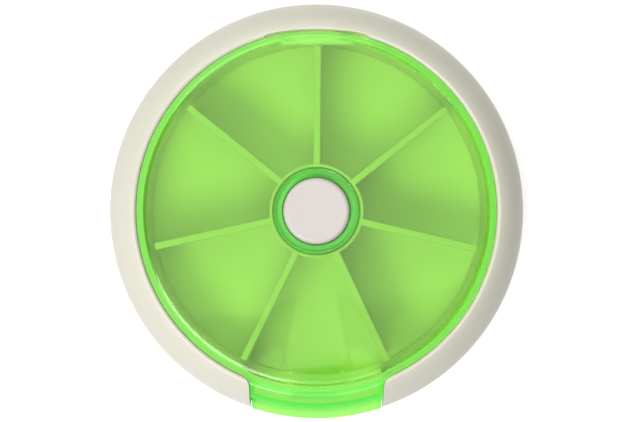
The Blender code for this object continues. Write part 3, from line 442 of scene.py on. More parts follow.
round_center = CASE_RADIUS - ROUND_WIDTH
crest_share = math.sqrt(1 - ((CREST_RADIUS - round_center) / ROUND_WIDTH) ** 2)
upper_round = (CREST_HEIGHT - PARTING_HEIGHT) / crest_share
bore_radius = CREST_RADIUS - CREST_FILLET
print("crest", round(CREST_HEIGHT / MM, 2), "bore", round(bore_radius / MM, 2))

# %% [markdown]
# Moulded white plastic is never one flat colour. The picture shows a warm white that turns
# ivory grey at the top and right of the ring, so two tones drift over each piece, and a very
# fine grain breaks the gloss. The wheel is a little whiter and the button a little pinker. In
# its well the case is painted a lighter white than outside. This is painted light for the light
# its walls give one another there, so that they look pale under the lid.

# %% White plastics
# Painted light: the lighter white inside the well stands in for the light that its walls give one
# another.
WELL_PAINTED_LIGHT = paint(0.97, 0.96, 0.92)
PAINTED_LIGHT_RADIUS = 37.5 * MM
PAINTED_LIGHT_BOTTOM = 1.5 * MM
GRAIN_DEPTH = 0.02 * MM
DRIFT_SCALE, SMEAR_SCALE, GRAIN_SCALE = 38.0, 120.0, 2600.0
PLASTIC_INDEX = 1.49


def painted_well_light(tree, place, outside):
    """Painted light: a lighter white inside the well, above the case's underside, for the light its walls
    give one another.
    """
    near = tree.node("ShaderNodeMath", {"operation": "LESS_THAN"},
                     {0: axis_distance(tree, place), 1: PAINTED_LIGHT_RADIUS})
    above = tree.node("ShaderNodeMath", {"operation": "GREATER_THAN"},
                      {0: along_axis(tree, place, "Z"), 1: PAINTED_LIGHT_BOTTOM})
    return mix_color(tree, near * above, outside, WELL_PAINTED_LIGHT)


def plastic(name, light, dark, roughness, spread, grain, has_painted_well_light=False):
    """Moulded plastic: a colour that drifts a little, a fine grain and uneven gloss."""
    made = bpy.data.materials.new(name)
    tree = Tree(made)
    place = object_place(tree)
    color = mix_color(tree, clouds(tree, place, DRIFT_SCALE, 3.0), dark, light)
    # Inside the well the colour turns to the lighter white of the painted light.
    if has_painted_well_light:
        color = painted_well_light(tree, place, color)
    smear = clouds(tree, place, SMEAR_SCALE, 4.0)
    relief = bump(tree, clouds(tree, place, GRAIN_SCALE, 2.0), grain, GRAIN_DEPTH)
    shader = tree.node("ShaderNodeBsdfPrincipled", inputs={
        "Base Color": color, "Roughness": roughness + (smear - 0.5) * spread,
        "IOR": PLASTIC_INDEX, "Normal": relief})
    tree.node("ShaderNodeOutputMaterial", inputs={"Surface": shader})
    return made


SHELL_WHITE = plastic("shell_white", paint(0.79, 0.775, 0.71), paint(0.76, 0.745, 0.675),
                      roughness=0.34, spread=0.10, grain=0.25, has_painted_well_light=True)
WHEEL_WHITE = plastic("wheel_white", paint(0.78, 0.77, 0.73), paint(0.75, 0.74, 0.70),
                      roughness=0.40, spread=0.08, grain=0.2)
BUTTON_WHITE = plastic("button_white", paint(0.71, 0.665, 0.68), paint(0.68, 0.635, 0.65),
                       roughness=0.38, spread=0.08, grain=0.3)
print("whites:", SHELL_WHITE.name, WHEEL_WHITE.name, BUTTON_WHITE.name)

# %% [markdown]
# The bezel ring is the ring that the picture shows round the lid. Its section is the flat upper
# ellipse, a small fillet down into the bore, a ledge for the lid and the well's wall. It is
# spun whole. Then its inside is hollowed, up to the cheeks beside the spout, which stay solid.

# %% Bezel ring
MOUTH_STEPS = 12


def spout_plan(half, fillet, back_radius, reach):
    """The spout's opening, with a round corner where each side meets the well."""
    center_x = half + fillet
    center_y = -math.sqrt((back_radius + fillet) ** 2 - center_x ** 2)
    meet = math.atan2(-center_y, -center_x)
    corner = arc(center_x, center_y, fillet, fillet, math.pi, meet, MOUTH_STEPS)
    right = [(half, -reach)] + corner + [(corner[-1][0] - fillet / 2, -back_radius + half)]
    return right + [(-x, y) for x, y in reversed(right)]


def upper_side(low):
    """The outside of the ring from its crest down to the parting line."""
    start = math.asin((CREST_HEIGHT - PARTING_HEIGHT) / upper_round)
    end = math.asin((low + EDGE_ROUND - PARTING_HEIGHT) / upper_round)
    side = arc(round_center, PARTING_HEIGHT, ROUND_WIDTH, upper_round, start, end, ROUND_STEPS)
    edge = arc(CASE_RADIUS - EDGE_ROUND, low + EDGE_ROUND, EDGE_ROUND, EDGE_ROUND, 0.0, FRONT, 4)
    return side + edge[1:]


def bezel_section(low):
    well_out = WELL_BACK + SEAT_GAP
    section = upper_side(low)
    section += [(well_out, low), (well_out, WELL_FOOT), (WELL_RADIUS, WELL_FOOT)]
    section += arc(WELL_RADIUS + SEAT_GAP, LEDGE_HEIGHT - SEAT_GAP, SEAT_GAP, SEAT_GAP,
                   math.pi, math.pi / 2, 3)
    section += [(bore_radius, LEDGE_HEIGHT)]
    section += arc(CREST_RADIUS, CREST_HEIGHT - CREST_FILLET, CREST_FILLET, CREST_FILLET,
                   math.pi, math.pi / 2, 8)[:-1]
    return section


def bezel_hollow(low):
    inner = ROUND_WIDTH - CASE_WALL
    roof_start = math.acos((WELL_BACK - round_center) / inner)
    roof = arc(round_center, PARTING_HEIGHT, inner, upper_round - CASE_WALL, roof_start, 0.0, 10)
    roof[0] = (WELL_BACK, LEDGE_HEIGHT - CASE_WALL)
    under = WELL_FOOT - OVERRUN
    hollow = turned("hollow", roof + [(roof[-1][0], under), (WELL_BACK, under)])
    half = SPOUT_HALF + CHEEK_WALL
    cheeks = block("cheeks", (-half, -CASE_RADIUS, low - EDGE_ROUND),
                   (half, -CASE_RADIUS + SPOUT_HALF, CREST_HEIGHT))
    return combine(hollow, "DIFFERENCE", cheeks)


parting_top = PARTING_HEIGHT + PARTING_GAP / 2
bezel = turned("bezel_skin", bezel_section(parting_top), SHELL_WHITE)
combine(bezel, "DIFFERENCE", bezel_hollow(parting_top),
        prism("mouth", spout_plan(SPOUT_HALF, SPOUT_ROUND, bore_radius, CASE_RADIUS + OVERRUN),
              -OVERRUN, CREST_HEIGHT + OVERRUN))
print("bezel ring", len(bezel.data.polygons), "faces")

# %% [markdown]
# The lid turns about a thin pin at the back. The ring is relieved there by a slim barrel about
# the pin, because the lid's shoulder swings through it. The barrel is the curve of the lid's own
# back edge, spun about the pin, so it takes away no more than the shoulder needs near its rest.

# %% Room for the hinge
HINGE_Y = 36.6 * MM
HINGE_Z = 18.95 * MM
LID_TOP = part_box("lid")[1][2]
SHOULDER = 3.2 * MM
LID_RADIUS = bore_radius - 0.14 * MM
BARREL_STEPS = 24

shoulder_reach = math.sqrt(SHOULDER ** 2 - (CREST_HEIGHT - LID_TOP + SHOULDER) ** 2)
shoulder_start = LID_RADIUS - shoulder_reach


def lid_back_height(across):
    """The height of the lid's top over the pin, at a distance from the middle."""
    outward = max(0.0, math.hypot(across, HINGE_Y) - shoulder_start)
    return LID_TOP - SHOULDER + math.sqrt(max(0.0, SHOULDER ** 2 - outward ** 2))


def hinge_room():
    half = math.sqrt(LID_RADIUS ** 2 - HINGE_Y ** 2)
    section = []
    for step in range(BARREL_STEPS + 1):
        along = half * math.cos(math.pi * step / BARREL_STEPS)
        section.append((lid_back_height(along) - HINGE_Z + SEAT_GAP / 2, along))
    section += [(0.0, -half), (0.0, half)]
    room = turned("hinge_room", section, steps=2 * PIN_STEPS)
    place = Matrix.Translation((0.0, HINGE_Y, HINGE_Z)) @ Matrix.Rotation(math.pi / 2, 4, "Y")
    room.data.transform(place)
    return room


combine(bezel, "DIFFERENCE", hinge_room())
print("shoulder starts at", round(shoulder_start / MM, 2), "mm")

# %% [markdown]
# A neck on the ring's ledge carries the knuckle, a short barrel round the pin. The neck reaches
# in under the lid, and its foot ties it to the wall of the well.

# %% Knuckle on the ring
PIN_RADIUS = 0.4 * MM
PIN_HOLE = 0.5 * MM
BORE_HALF = 9.0 * MM
KNUCKLE_RADIUS = 0.85 * MM
KNUCKLE_HALF = 4.95 * MM
NECK_IN = 0.45 * MM
NECK_OUT = 0.6 * MM
FOOT_IN = 0.3 * MM
FOOT_OUT = 1.1 * MM
FOOT_RISE = 1.2 * MM


def knuckle_parts():
    """The neck, its foot and the knuckle."""
    neck_half = KNUCKLE_HALF - SEAT_GAP
    foot_half = neck_half - SEAT_GAP
    neck = block("neck", (-neck_half, HINGE_Y - NECK_IN, LEDGE_HEIGHT - SEAT_GAP),
                 (neck_half, HINGE_Y + NECK_OUT, HINGE_Z - PIN_RADIUS))
    foot = block("foot", (-foot_half, HINGE_Y + FOOT_IN, LEDGE_HEIGHT - 2 * SEAT_GAP),
                 (foot_half, WELL_RADIUS + FOOT_OUT, LEDGE_HEIGHT + FOOT_RISE))
    knuckle = cross_rod("knuckle", KNUCKLE_RADIUS, -KNUCKLE_HALF, KNUCKLE_HALF, HINGE_Y, HINGE_Z)
    return neck, foot, knuckle


combine(bezel, "UNION", *knuckle_parts())
combine(bezel, "DIFFERENCE", cross_rod("bore", PIN_HOLE, -BORE_HALF, BORE_HALF, HINGE_Y, HINGE_Z))
dress(bezel, "case", "bezel_ring")

# %% [markdown]
# The base is the lower shell. It stands on a flat ring, its floor carries the wheel, and its
# front edge drops to a sill under the finger lip. Its section starts at the rabbet that the ring
# slips over, goes round the outside, and comes back over the post's seat and the floor.

# %% Base section
FOOT_WIDTH = 5.0 * MM
FOOT_DEPTH = 0.8 * MM
FLOOR_TOP = 2.4 * MM
RABBET_GAP = 0.1 * MM
RABBET_WALL = 0.7 * MM
RABBET_RISE = 1.0 * MM
SCREW_HEAD_RADIUS = 3.3 * MM
SCREW_HEAD_TOP = 2.6 * MM
POST_SCREW_RADIUS = 1.5 * MM
POST_SEAT_RADIUS = 5.0 * MM
POST_SEAT_TOP = 4.2 * MM
RAIL_IN = 12.0 * MM
RAIL_OUT = 14.0 * MM
RAIL_TOP = 3.1 * MM

base_top = PARTING_HEIGHT - PARTING_GAP / 2
base_inner = CASE_RADIUS - CASE_WALL


def lower_side():
    """The outside of the base from the parting line down to its foot."""
    edge = arc(CASE_RADIUS - EDGE_ROUND, base_top - EDGE_ROUND, EDGE_ROUND, EDGE_ROUND,
               math.pi / 2, 0.0, 4)
    start = -math.asin(min(1.0, (PARTING_HEIGHT - base_top + EDGE_ROUND) / PARTING_HEIGHT))
    side = arc(round_center, PARTING_HEIGHT, ROUND_WIDTH, PARTING_HEIGHT, start, FRONT, ROUND_STEPS)
    return edge + side[1:]


def base_section():
    rabbet = base_inner + RABBET_GAP
    rabbet_top = base_top + RABBET_RISE
    foot_inner = round_center - FOOT_WIDTH
    well = WELL_RADIUS - SEAT_GAP
    section = [(rabbet, rabbet_top), (rabbet + RABBET_WALL, rabbet_top), (rabbet + RABBET_WALL, base_top)]
    section += lower_side()
    section += arc(foot_inner + EDGE_ROUND, EDGE_ROUND, EDGE_ROUND, EDGE_ROUND, FRONT, -math.pi, 4)
    section += [(foot_inner, FOOT_DEPTH), (SCREW_HEAD_RADIUS, FOOT_DEPTH)]
    section += [(SCREW_HEAD_RADIUS, SCREW_HEAD_TOP), (POST_SCREW_RADIUS, SCREW_HEAD_TOP)]
    section += [(POST_SCREW_RADIUS, POST_SEAT_TOP), (POST_SEAT_RADIUS, POST_SEAT_TOP)]
    section += [(POST_SEAT_RADIUS, FLOOR_TOP), (RAIL_IN, FLOOR_TOP), (RAIL_IN, RAIL_TOP)]
    section += [(RAIL_OUT, RAIL_TOP), (RAIL_OUT, FLOOR_TOP)]
    return section + [(well, FLOOR_TOP), (well, base_top), (rabbet, base_top)]


base = turned("base_skin", base_section(), SHELL_WHITE)
print("base skin", len(base.data.polygons), "faces")

# %% [markdown]
# The inside of the base is cut out with a turned tool, from which the screw columns, the sill
# and the two cheeks were taken first, so that they stay solid. Then come the spout's mouth, the
# slot for the lid's tongue and the screw holes.

# %% Inside of the base
SILL_HEIGHT = 5.0 * MM
BOSS_RADIUS = 2.4 * MM
BOSS_GAP = 0.15 * MM
SCREW_COUNT = 4
SCREW_CIRCLE = 41.2 * MM
SCREW_HOLE = 1.3 * MM
SCREW_WELL = 1.9 * MM
SCREW_WELL_TOP = 5.3 * MM
SLOT_HALF = 5.6 * MM
SLOT_FRONT = 41.0 * MM
SLOT_BACK = 38.0 * MM
SLOT_FLOOR = 2.9 * MM


def screw_place(index):
    angle = TURN * (index + 0.5) / SCREW_COUNT
    return (SCREW_CIRCLE * math.cos(angle), SCREW_CIRCLE * math.sin(angle))


def base_hollow():
    depth = PARTING_HEIGHT - FLOOR_TOP - BOSS_GAP
    wall = arc(round_center, PARTING_HEIGHT, ROUND_WIDTH - CASE_WALL, depth, 0.0, FRONT, 10)
    above = base_top + OVERRUN
    hollow = turned("base_hollow", [(base_inner, above)] + wall + [(round_center, above)])
    boss_top = base_top - BOSS_GAP
    columns = [rod("column", BOSS_RADIUS, -OVERRUN, boss_top, place) for place in screw_places]
    sill_half = SPOUT_HALF - SEAT_GAP
    sill = block("sill", (-sill_half, -CASE_RADIUS, 0.0),
                 (sill_half, -CASE_RADIUS + SPOUT_HALF, base_top))
    cheek_half = SPOUT_HALF + CHEEK_WALL
    cheek_back = math.sqrt((WELL_BACK + SEAT_GAP) ** 2 - SPOUT_HALF ** 2)
    cheeks = block("cheeks", (-cheek_half, -CASE_RADIUS, 0.0), (cheek_half, -cheek_back, boss_top))
    return combine(hollow, "DIFFERENCE", *columns, sill, cheeks)


def cut_base():
    above = base_top + OVERRUN
    mouth = block("base_mouth", (-SPOUT_HALF, -CASE_RADIUS - OVERRUN, SILL_HEIGHT),
                  (SPOUT_HALF, -CASE_RADIUS + SPOUT_HALF, above))
    slot = block("latch_slot", (-SLOT_HALF, -SLOT_FRONT, SLOT_FLOOR),
                 (SLOT_HALF, -SLOT_BACK, SILL_HEIGHT + OVERRUN))
    combine(base, "DIFFERENCE", base_hollow(), mouth, slot)
    for place in screw_places:
        combine(base, "DIFFERENCE", rod("hole", SCREW_HOLE, -OVERRUN, above, place),
                rod("well", SCREW_WELL, -OVERRUN, SCREW_WELL_TOP, place))


screw_places = [screw_place(index) for index in range(SCREW_COUNT)]
cut_base()
dress(base, "case", "base_shell")

# %% [markdown]
# The lid is one clear green moulding. What gives it its look is that the colour sits in the
# plastic and not on it: a thin plate is pale, and its edges, where one looks along the wall, are
# deep green. So the skin is clear, and a volume absorbs light along each path through the wall.
# The light of the lamps passes the skin without bending, so that the compartments stay lit.
#
# The edges do one thing more: they catch light inside the wall and glow with it. So the skirt,
# the collar and the back at the hinge get a share of a cloudy, glossy plastic with a painted
# glow, a little light of its own that stands in for the light caught in the wall. Its tone is
# deeper on the upright walls, which one sees edge on. Where the plate hides the rim of the
# wheel, a satin ring blurs what lies below, as the real moulding does.

# %% Words for the lid's zones
ZONE_SOFT = 0.6 * MM
BAND_SOFT = 0.3 * MM


def ramp(tree, value, start, end):
    """0 before the start, 1 after the end and a straight line between."""
    return tree.node("ShaderNodeMapRange", {"clamp": True}, {
        "Value": value, "From Min": start, "From Max": end, "To Min": 0.0, "To Max": 1.0})


def within(tree, value, low, high, soft):
    """1 between two limits, with soft sides."""
    return ramp(tree, value, low, low + soft) * ramp(tree, value, high, high - soft)


def at_most_one(tree, value):
    return ramp(tree, value, 0.0, 1.0)


print("soft sides", ZONE_SOFT / MM, "and", BAND_SOFT / MM, "mm")

# %% [markdown]
# The zones follow the lid's own shapes, so they are measured from its axis and across the tab.
# The tab's zone takes in the front with its apron, and the hinge's zone the ears at the back.

# %% Zones of the lid
COLLAR_OUTER = 9.05 * MM
COLLAR_SOFT = 0.25 * MM
TAB_ZONE_START = 33.5 * MM
TAB_ZONE_SOFT = 1.0 * MM
TAB_ZONE_HALF = 15.4 * MM
HINGE_ZONE_START = 35.0 * MM
HINGE_ZONE_HALF = 7.9 * MM
SKIRT_START = 36.6 * MM
SKIRT_SHIFT = 0.3 * MM
SATIN_START, SATIN_FULL = 34.3 * MM, 34.9 * MM
SATIN_FADE, SATIN_END = 36.0 * MM, 36.3 * MM
SATIN_ROUGHNESS, SKIRT_ROUGHNESS, PLATE_ROUGHNESS = 0.26, 0.11, 0.035
LID_SMEAR_SCALE, LID_SMEAR_SPREAD = 90.0, 0.03
SEAM_IN, SEAM_OUT = 38.2 * MM, 39.3 * MM
APRON_IN, APRON_OUT = 40.8 * MM, 42.5 * MM
FOLD_IN, FOLD_OUT, FOLD_SOFT = 43.0 * MM, 44.0 * MM, 0.4 * MM
SIDE_START = 13.0 * MM
SIDE_RADIUS, SIDE_SOFT = 39.0 * MM, 0.5 * MM
SEAM_SHARE, FOLD_SHARE, COLLAR_SHARE = 0.7, 0.4, 0.6


def lid_zones(tree, place):
    """Where the wall is cloudy and has its painted glow, and where its tone is deep."""
    radius = axis_distance(tree, place)
    along = along_axis(tree, place, "Y")
    across = tree.node("ShaderNodeMath", {"operation": "ABSOLUTE"}, {0: along_axis(tree, place, "X")})
    tab = (ramp(tree, along, -TAB_ZONE_START, -TAB_ZONE_START - TAB_ZONE_SOFT)
           * ramp(tree, across, TAB_ZONE_HALF, TAB_ZONE_HALF - ZONE_SOFT))
    hinge = (ramp(tree, along, HINGE_ZONE_START, HINGE_ZONE_START + ZONE_SOFT)
             * ramp(tree, across, HINGE_ZONE_HALF, HINGE_ZONE_HALF - ZONE_SOFT))
    skirt = ramp(tree, radius - tab * SKIRT_SHIFT, SKIRT_START, SKIRT_START + BAND_SOFT)
    collar = ramp(tree, radius, COLLAR_OUTER, COLLAR_OUTER - COLLAR_SOFT)
    apron = within(tree, radius, APRON_IN, APRON_OUT, BAND_SOFT)
    sides = (ramp(tree, across, SIDE_START, SIDE_START + BAND_SOFT)
             * ramp(tree, radius, SIDE_RADIUS, SIDE_RADIUS + SIDE_SOFT))
    seam = within(tree, radius, SEAM_IN, SEAM_OUT, BAND_SOFT) * tab
    fold = within(tree, radius, FOLD_IN, FOLD_OUT, FOLD_SOFT)
    deep = apron + sides + seam * SEAM_SHARE + fold * FOLD_SHARE + collar * COLLAR_SHARE
    return at_most_one(tree, skirt + collar + hinge), at_most_one(tree, deep)


def lid_gloss(tree, place):
    """A polished plate with faint smears, and the satin ring over the wheel's rim."""
    radius = axis_distance(tree, place)
    satin = ramp(tree, radius, SATIN_START, SATIN_FULL) * SATIN_ROUGHNESS
    faded = ramp(tree, radius, SATIN_FADE, SATIN_END) * (SATIN_ROUGHNESS - SKIRT_ROUGHNESS)
    smear = (clouds(tree, place, LID_SMEAR_SCALE, 4.0) - 0.5) * LID_SMEAR_SPREAD
    return satin - faded + PLATE_ROUGHNESS + smear


print("tab zone from", TAB_ZONE_START / MM, "mm, hinge zone from", HINGE_ZONE_START / MM, "mm")

# %% [markdown]
# Three surfaces make the finish. The skin is clear, the cloudy one catches light and has a
# painted glow, and the third lets the lamps and the light that bounces between the white walls
# pass with a pale green tint.

# %% Clear green plastic
EDGE_HAZE = 0.5
# Strength of the painted glow on the cloudy edges, for the light caught in the wall.
PAINTED_EDGE_GLOW = 0.285
BACKLIT_SHARE = 0.3
PALE_EDGE = paint(0.42, 0.96, 0.24)
DEEP_EDGE = paint(0.12, 0.96, 0.14)
BACKLIT_EDGE = paint(0.36, 0.96, 0.22)
SKIN_TINT = paint(0.60, 0.925, 0.345)
LAMP_TINT = paint(0.80, 0.93, 0.62)
BODY_TINT = paint(0.62, 0.985, 0.16)
BODY_DENSITY = 240.0
WAVE_SCALE = 55.0
WAVE_STRENGTH = 0.2
WAVE_DEPTH = 0.05 * MM


def clear_green():
    made = bpy.data.materials.new("lid_green")
    tree = Tree(made)
    place = object_place(tree)
    cloudy_glow_zone, deep_zone = lid_zones(tree, place)
    gloss = lid_gloss(tree, place)
    relief = bump(tree, clouds(tree, place, WAVE_SCALE, 1.0), WAVE_STRENGTH, WAVE_DEPTH)
    tone = mix_color(tree, deep_zone, PALE_EDGE, DEEP_EDGE)
    skin = tree.node("ShaderNodeBsdfPrincipled", inputs={
        "Base Color": SKIN_TINT, "Roughness": gloss, "IOR": PLASTIC_INDEX, "Transmission Weight": 1.0,
        "Normal": relief})
    # The cloudy plastic's emission is a painted glow, in the tone of the edge.
    cloudy_glowing = tree.node("ShaderNodeBsdfPrincipled", inputs={
        "Base Color": tone, "Roughness": gloss, "IOR": PLASTIC_INDEX, "Normal": relief,
        "Emission Color": tone, "Emission Strength": PAINTED_EDGE_GLOW})
    backlit = tree.node("ShaderNodeBsdfTranslucent", inputs={"Color": BACKLIT_EDGE})
    edge = mix_shader(tree, BACKLIT_SHARE, cloudy_glowing, backlit)
    wall = mix_shader(tree, cloudy_glow_zone * EDGE_HAZE, skin, edge)
    open_way = tree.node("ShaderNodeBsdfTransparent", inputs={"Color": LAMP_TINT})
    surface = mix_shader(tree, ray(tree, "Shadow") + ray(tree, "Diffuse"), wall, open_way)
    body = tree.node("ShaderNodeVolumeAbsorption",
                     inputs={"Color": BODY_TINT, "Density": BODY_DENSITY})
    tree.node("ShaderNodeOutputMaterial", inputs={"Surface": surface, "Volume": body})
    return made


LID_GREEN = clear_green()
print("clear green plastic:", len(LID_GREEN.node_tree.nodes), "nodes")

# %% [markdown]
# The lid's section runs from the collar round the button, over a dished edge, along the flat
# plate and down the rounded shoulder. At the front the section goes on along the ring's own
# round, which becomes the top of the tab. Seen from above, the lid is a disc with two soft
# corners where the tab leaves it, so the turned shape is kept only inside that plan.

# %% Outlines of the lid
LID_WALL = 1.3 * MM
LID_GAP = 0.25 * MM
SHOULDER_STEPS = 14
TAB_STEPS = 8
TAB_HALF = SPOUT_HALF - LID_GAP
TAB_WALL = 1.2 * MM
TAB_FRONT = 42.2 * MM


def lid_top_line(drop, inset):
    """The lid's top from the plate to the tab's front, or its underside when it is dropped."""
    shoulder = SHOULDER - drop
    low = LID_TOP - SHOULDER
    tab_level = CREST_HEIGHT - drop
    ending = math.asin(min(1.0, max(0.0, (tab_level + inset - low) / shoulder)))
    points = arc(shoulder_start, low, shoulder, shoulder, math.pi / 2, ending, SHOULDER_STEPS)
    if inset:
        points.append((LID_RADIUS, tab_level))
    points.append((CREST_RADIUS, tab_level))
    width = ROUND_WIDTH - drop
    share = math.sqrt(1 - ((CREST_RADIUS - round_center) / width) ** 2)
    rise = (tab_level - PARTING_HEIGHT) / share
    front = TAB_FRONT - inset
    for step in range(1, TAB_STEPS + 1):
        radius = CREST_RADIUS + (front - CREST_RADIUS) * step / TAB_STEPS
        fall = math.sqrt(1 - ((radius - round_center) / width) ** 2)
        points.append((radius, PARTING_HEIGHT + rise * fall))
    return points


def lid_plan(disc, half, fillet, front):
    """The disc with the tab and a soft corner on each side of it."""
    center_x = half + fillet
    center_y = -math.sqrt((disc + fillet) ** 2 - center_x ** 2)
    meet = math.atan2(-center_y, -center_x)
    tab = arc(0.0, 0.0, front, front, FRONT, FRONT + math.asin(half / front), MOUTH_STEPS)[1:]
    side = arc(center_x, center_y, fillet, fillet, math.pi, meet, MOUTH_STEPS)
    start = math.atan2(side[-1][1], side[-1][0])
    rim = arc(0.0, 0.0, disc, disc, start, math.pi / 2, RING_STEPS // 2)[1:]
    right = tab + side + rim
    return [(0.0, -front)] + right + [(-x, y) for x, y in reversed(right[:-1])]


print("plate above the ring", round((LID_TOP - CREST_HEIGHT) / MM, 2), "mm")

# %% [markdown]
# The shell of the lid is the turned section cut to its plan, with a smaller turned shape taken
# out from below. That leaves a plate, a skirt and a collar of nearly even thickness, which is
# also how a mould makes them.

# %% Lid
SKIRT_WALL = 1.25 * MM
SKIRT_BOTTOM = LEDGE_HEIGHT + SEAT_GAP
COLLAR_BORE = 7.25 * MM
COLLAR_FILLET = 0.45 * MM
DISH_RADIUS = 8.6 * MM
DISH_DEPTH = 1.4 * MM


def lid_section():
    dish_level = LID_TOP - DISH_DEPTH
    collar_edge = COLLAR_BORE + EDGE_ROUND
    dish_in = DISH_RADIUS - COLLAR_FILLET
    dish_out = DISH_RADIUS + COLLAR_FILLET
    section = lid_top_line(0.0, 0.0) + [(TAB_FRONT, SKIRT_BOTTOM)]
    section += arc(collar_edge, SKIRT_BOTTOM + EDGE_ROUND, EDGE_ROUND, EDGE_ROUND, FRONT, -math.pi, 3)
    section += arc(collar_edge, dish_level - EDGE_ROUND, EDGE_ROUND, EDGE_ROUND,
                   math.pi, math.pi / 2, 4)
    section += arc(dish_in, dish_level + COLLAR_FILLET, COLLAR_FILLET, COLLAR_FILLET, FRONT, 0.0, 5)
    section += arc(dish_out, LID_TOP - COLLAR_FILLET, COLLAR_FILLET, COLLAR_FILLET,
                   math.pi, math.pi / 2, 6)
    return section


def lid_hollow(fillet):
    roof = lid_top_line(LID_WALL, TAB_WALL)
    under = SKIRT_BOTTOM - OVERRUN
    root = arc(COLLAR_OUTER + EDGE_ROUND, LID_TOP - LID_WALL - EDGE_ROUND, EDGE_ROUND, EDGE_ROUND,
               math.pi, math.pi / 2, 3)
    hollow = turned("hollow", roof + [(roof[-1][0], under), (COLLAR_OUTER, under)] + root)
    plan = lid_plan(LID_RADIUS - SKIRT_WALL, TAB_HALF - TAB_WALL, fillet + TAB_WALL, TAB_FRONT)
    return combine(hollow, "INTERSECT", prism("inside", plan, -OVERRUN, LID_TOP + OVERRUN))


def make_lid():
    shell = turned("lid_shell", lid_section(), LID_GREEN)
    fillet = SPOUT_ROUND + LID_GAP
    plan = lid_plan(LID_RADIUS, TAB_HALF, fillet, TAB_FRONT + OVERRUN)
    combine(shell, "INTERSECT", prism("plan", plan, 0.0, LID_TOP + OVERRUN))
    return combine(shell, "DIFFERENCE", lid_hollow(fillet))


lid = make_lid()
print("lid shell", len(lid.data.polygons), "faces")

# %% [markdown]
# Under the tab hangs the apron, which closes the spout, and from it the finger lip reaches out
# to the edge of the case. The apron stands back a little from the tab's front, and the lip from
# its sides, so that no two surfaces lie in one plane, where a Boolean could leave a tear.

# %% Apron and finger lip
FRONT_STEPS = 24
APRON_STEP = 0.1 * MM
LIP_STEP = 0.05 * MM
LIP_BOTTOM = 9.4 * MM
LIP_THICK = 1.5 * MM
LIP_ROUND = 0.9 * MM

tab_back = TAB_FRONT - TAB_WALL


def front_arc(radius, half):
    """An arc about the axis that crosses the front from left to right."""
    corner = math.asin(half / radius)
    return arc(0.0, 0.0, radius, radius, FRONT - corner, FRONT + corner, FRONT_STEPS)


def apron():
    outer = TAB_FRONT - APRON_STEP
    back = math.sqrt(bore_radius ** 2 - SPOUT_HALF ** 2) + SPOUT_ROUND
    inner_half = TAB_HALF - TAB_WALL
    plan = front_arc(outer, TAB_HALF) + [(TAB_HALF, -back), (inner_half, -back)]
    plan += front_arc(tab_back, inner_half)[::-1] + [(-inner_half, -back), (-TAB_HALF, -back)]
    return prism("apron", plan, SILL_HEIGHT + SEAT_GAP, SKIRT_BOTTOM + LID_WALL / 4)


def finger_lip():
    half = TAB_HALF - LIP_STEP
    edge = front_arc(CASE_RADIUS, half - LIP_ROUND)
    right = arc(half - LIP_ROUND, edge[-1][1] + LIP_ROUND, LIP_ROUND, LIP_ROUND, FRONT, 0.0, 8)[1:]
    plan = [(-x, y) for x, y in reversed(right)] + edge + right
    plan += front_arc(tab_back + TAB_WALL / 2, half)[::-1]
    return prism("finger_lip", plan, LIP_BOTTOM, LIP_BOTTOM + LIP_THICK)


combine(lid, "UNION", apron(), finger_lip())
print("lid with its lip", len(lid.data.polygons), "faces")

# %% [markdown]
# Behind the apron a snap tongue reaches down into the slot of the sill, where its rounded nose
# catches. A shallow T on the plate's underside stands behind the tongue and backs it.

# %% Snap tongue and shallow T
TONGUE_HALF = 5.0 * MM
TONGUE_FRONT = 39.8 * MM
TONGUE_BACK = 38.5 * MM
TONGUE_BOTTOM = 3.3 * MM
NOSE_RADIUS = 0.4 * MM
NOSE_HALF = 4.55 * MM
NOSE_HEIGHT = 3.8 * MM
BAR_HALF = 6.5 * MM
BAR_FRONT = 33.2 * MM
BAR_BACK = 30.6 * MM
BAR_DEPTH = 0.25 * MM
STEM_FRONT = 36.4 * MM
STEM_BACK = 32.0 * MM
STEM_DEPTH = 0.2 * MM


def snap_tongue():
    tongue = block("tongue", (-TONGUE_HALF, -TONGUE_FRONT, TONGUE_BOTTOM),
                   (TONGUE_HALF, -TONGUE_BACK, CREST_HEIGHT - LID_WALL / 2))
    nose = cross_rod("nose", NOSE_RADIUS, -NOSE_HALF, NOSE_HALF, -TONGUE_FRONT, NOSE_HEIGHT,
                     PIN_STEPS // 2)
    return tongue, nose


def shallow_t():
    plate = LID_TOP - LID_WALL
    bar = block("bar", (-BAR_HALF, -BAR_FRONT, plate - BAR_DEPTH),
                (BAR_HALF, -BAR_BACK, plate + BAR_DEPTH))
    stem = block("stem", (-TONGUE_HALF, -STEM_FRONT, plate - STEM_DEPTH),
                 (TONGUE_HALF, -STEM_BACK, plate + STEM_DEPTH))
    return combine(bar, "UNION", stem)


combine(lid, "UNION", *snap_tongue(), shallow_t())
print("lid with its tongue", len(lid.data.polygons), "faces")

# %% [markdown]
# At the back the skirt is broken away, two ears hold the pin, and a pocket leaves room for the
# ring's knuckle and its neck, so that the lid can stand upright when it is open.

# %% Lid hinge
EAR_RADIUS = 0.85 * MM
EAR_END = 7.1 * MM
EAR_STEP = 0.2 * MM
BREAK_HALF = 12.0 * MM
BREAK_DROP = 0.5 * MM
SWEEP_RISE = 0.8 * MM


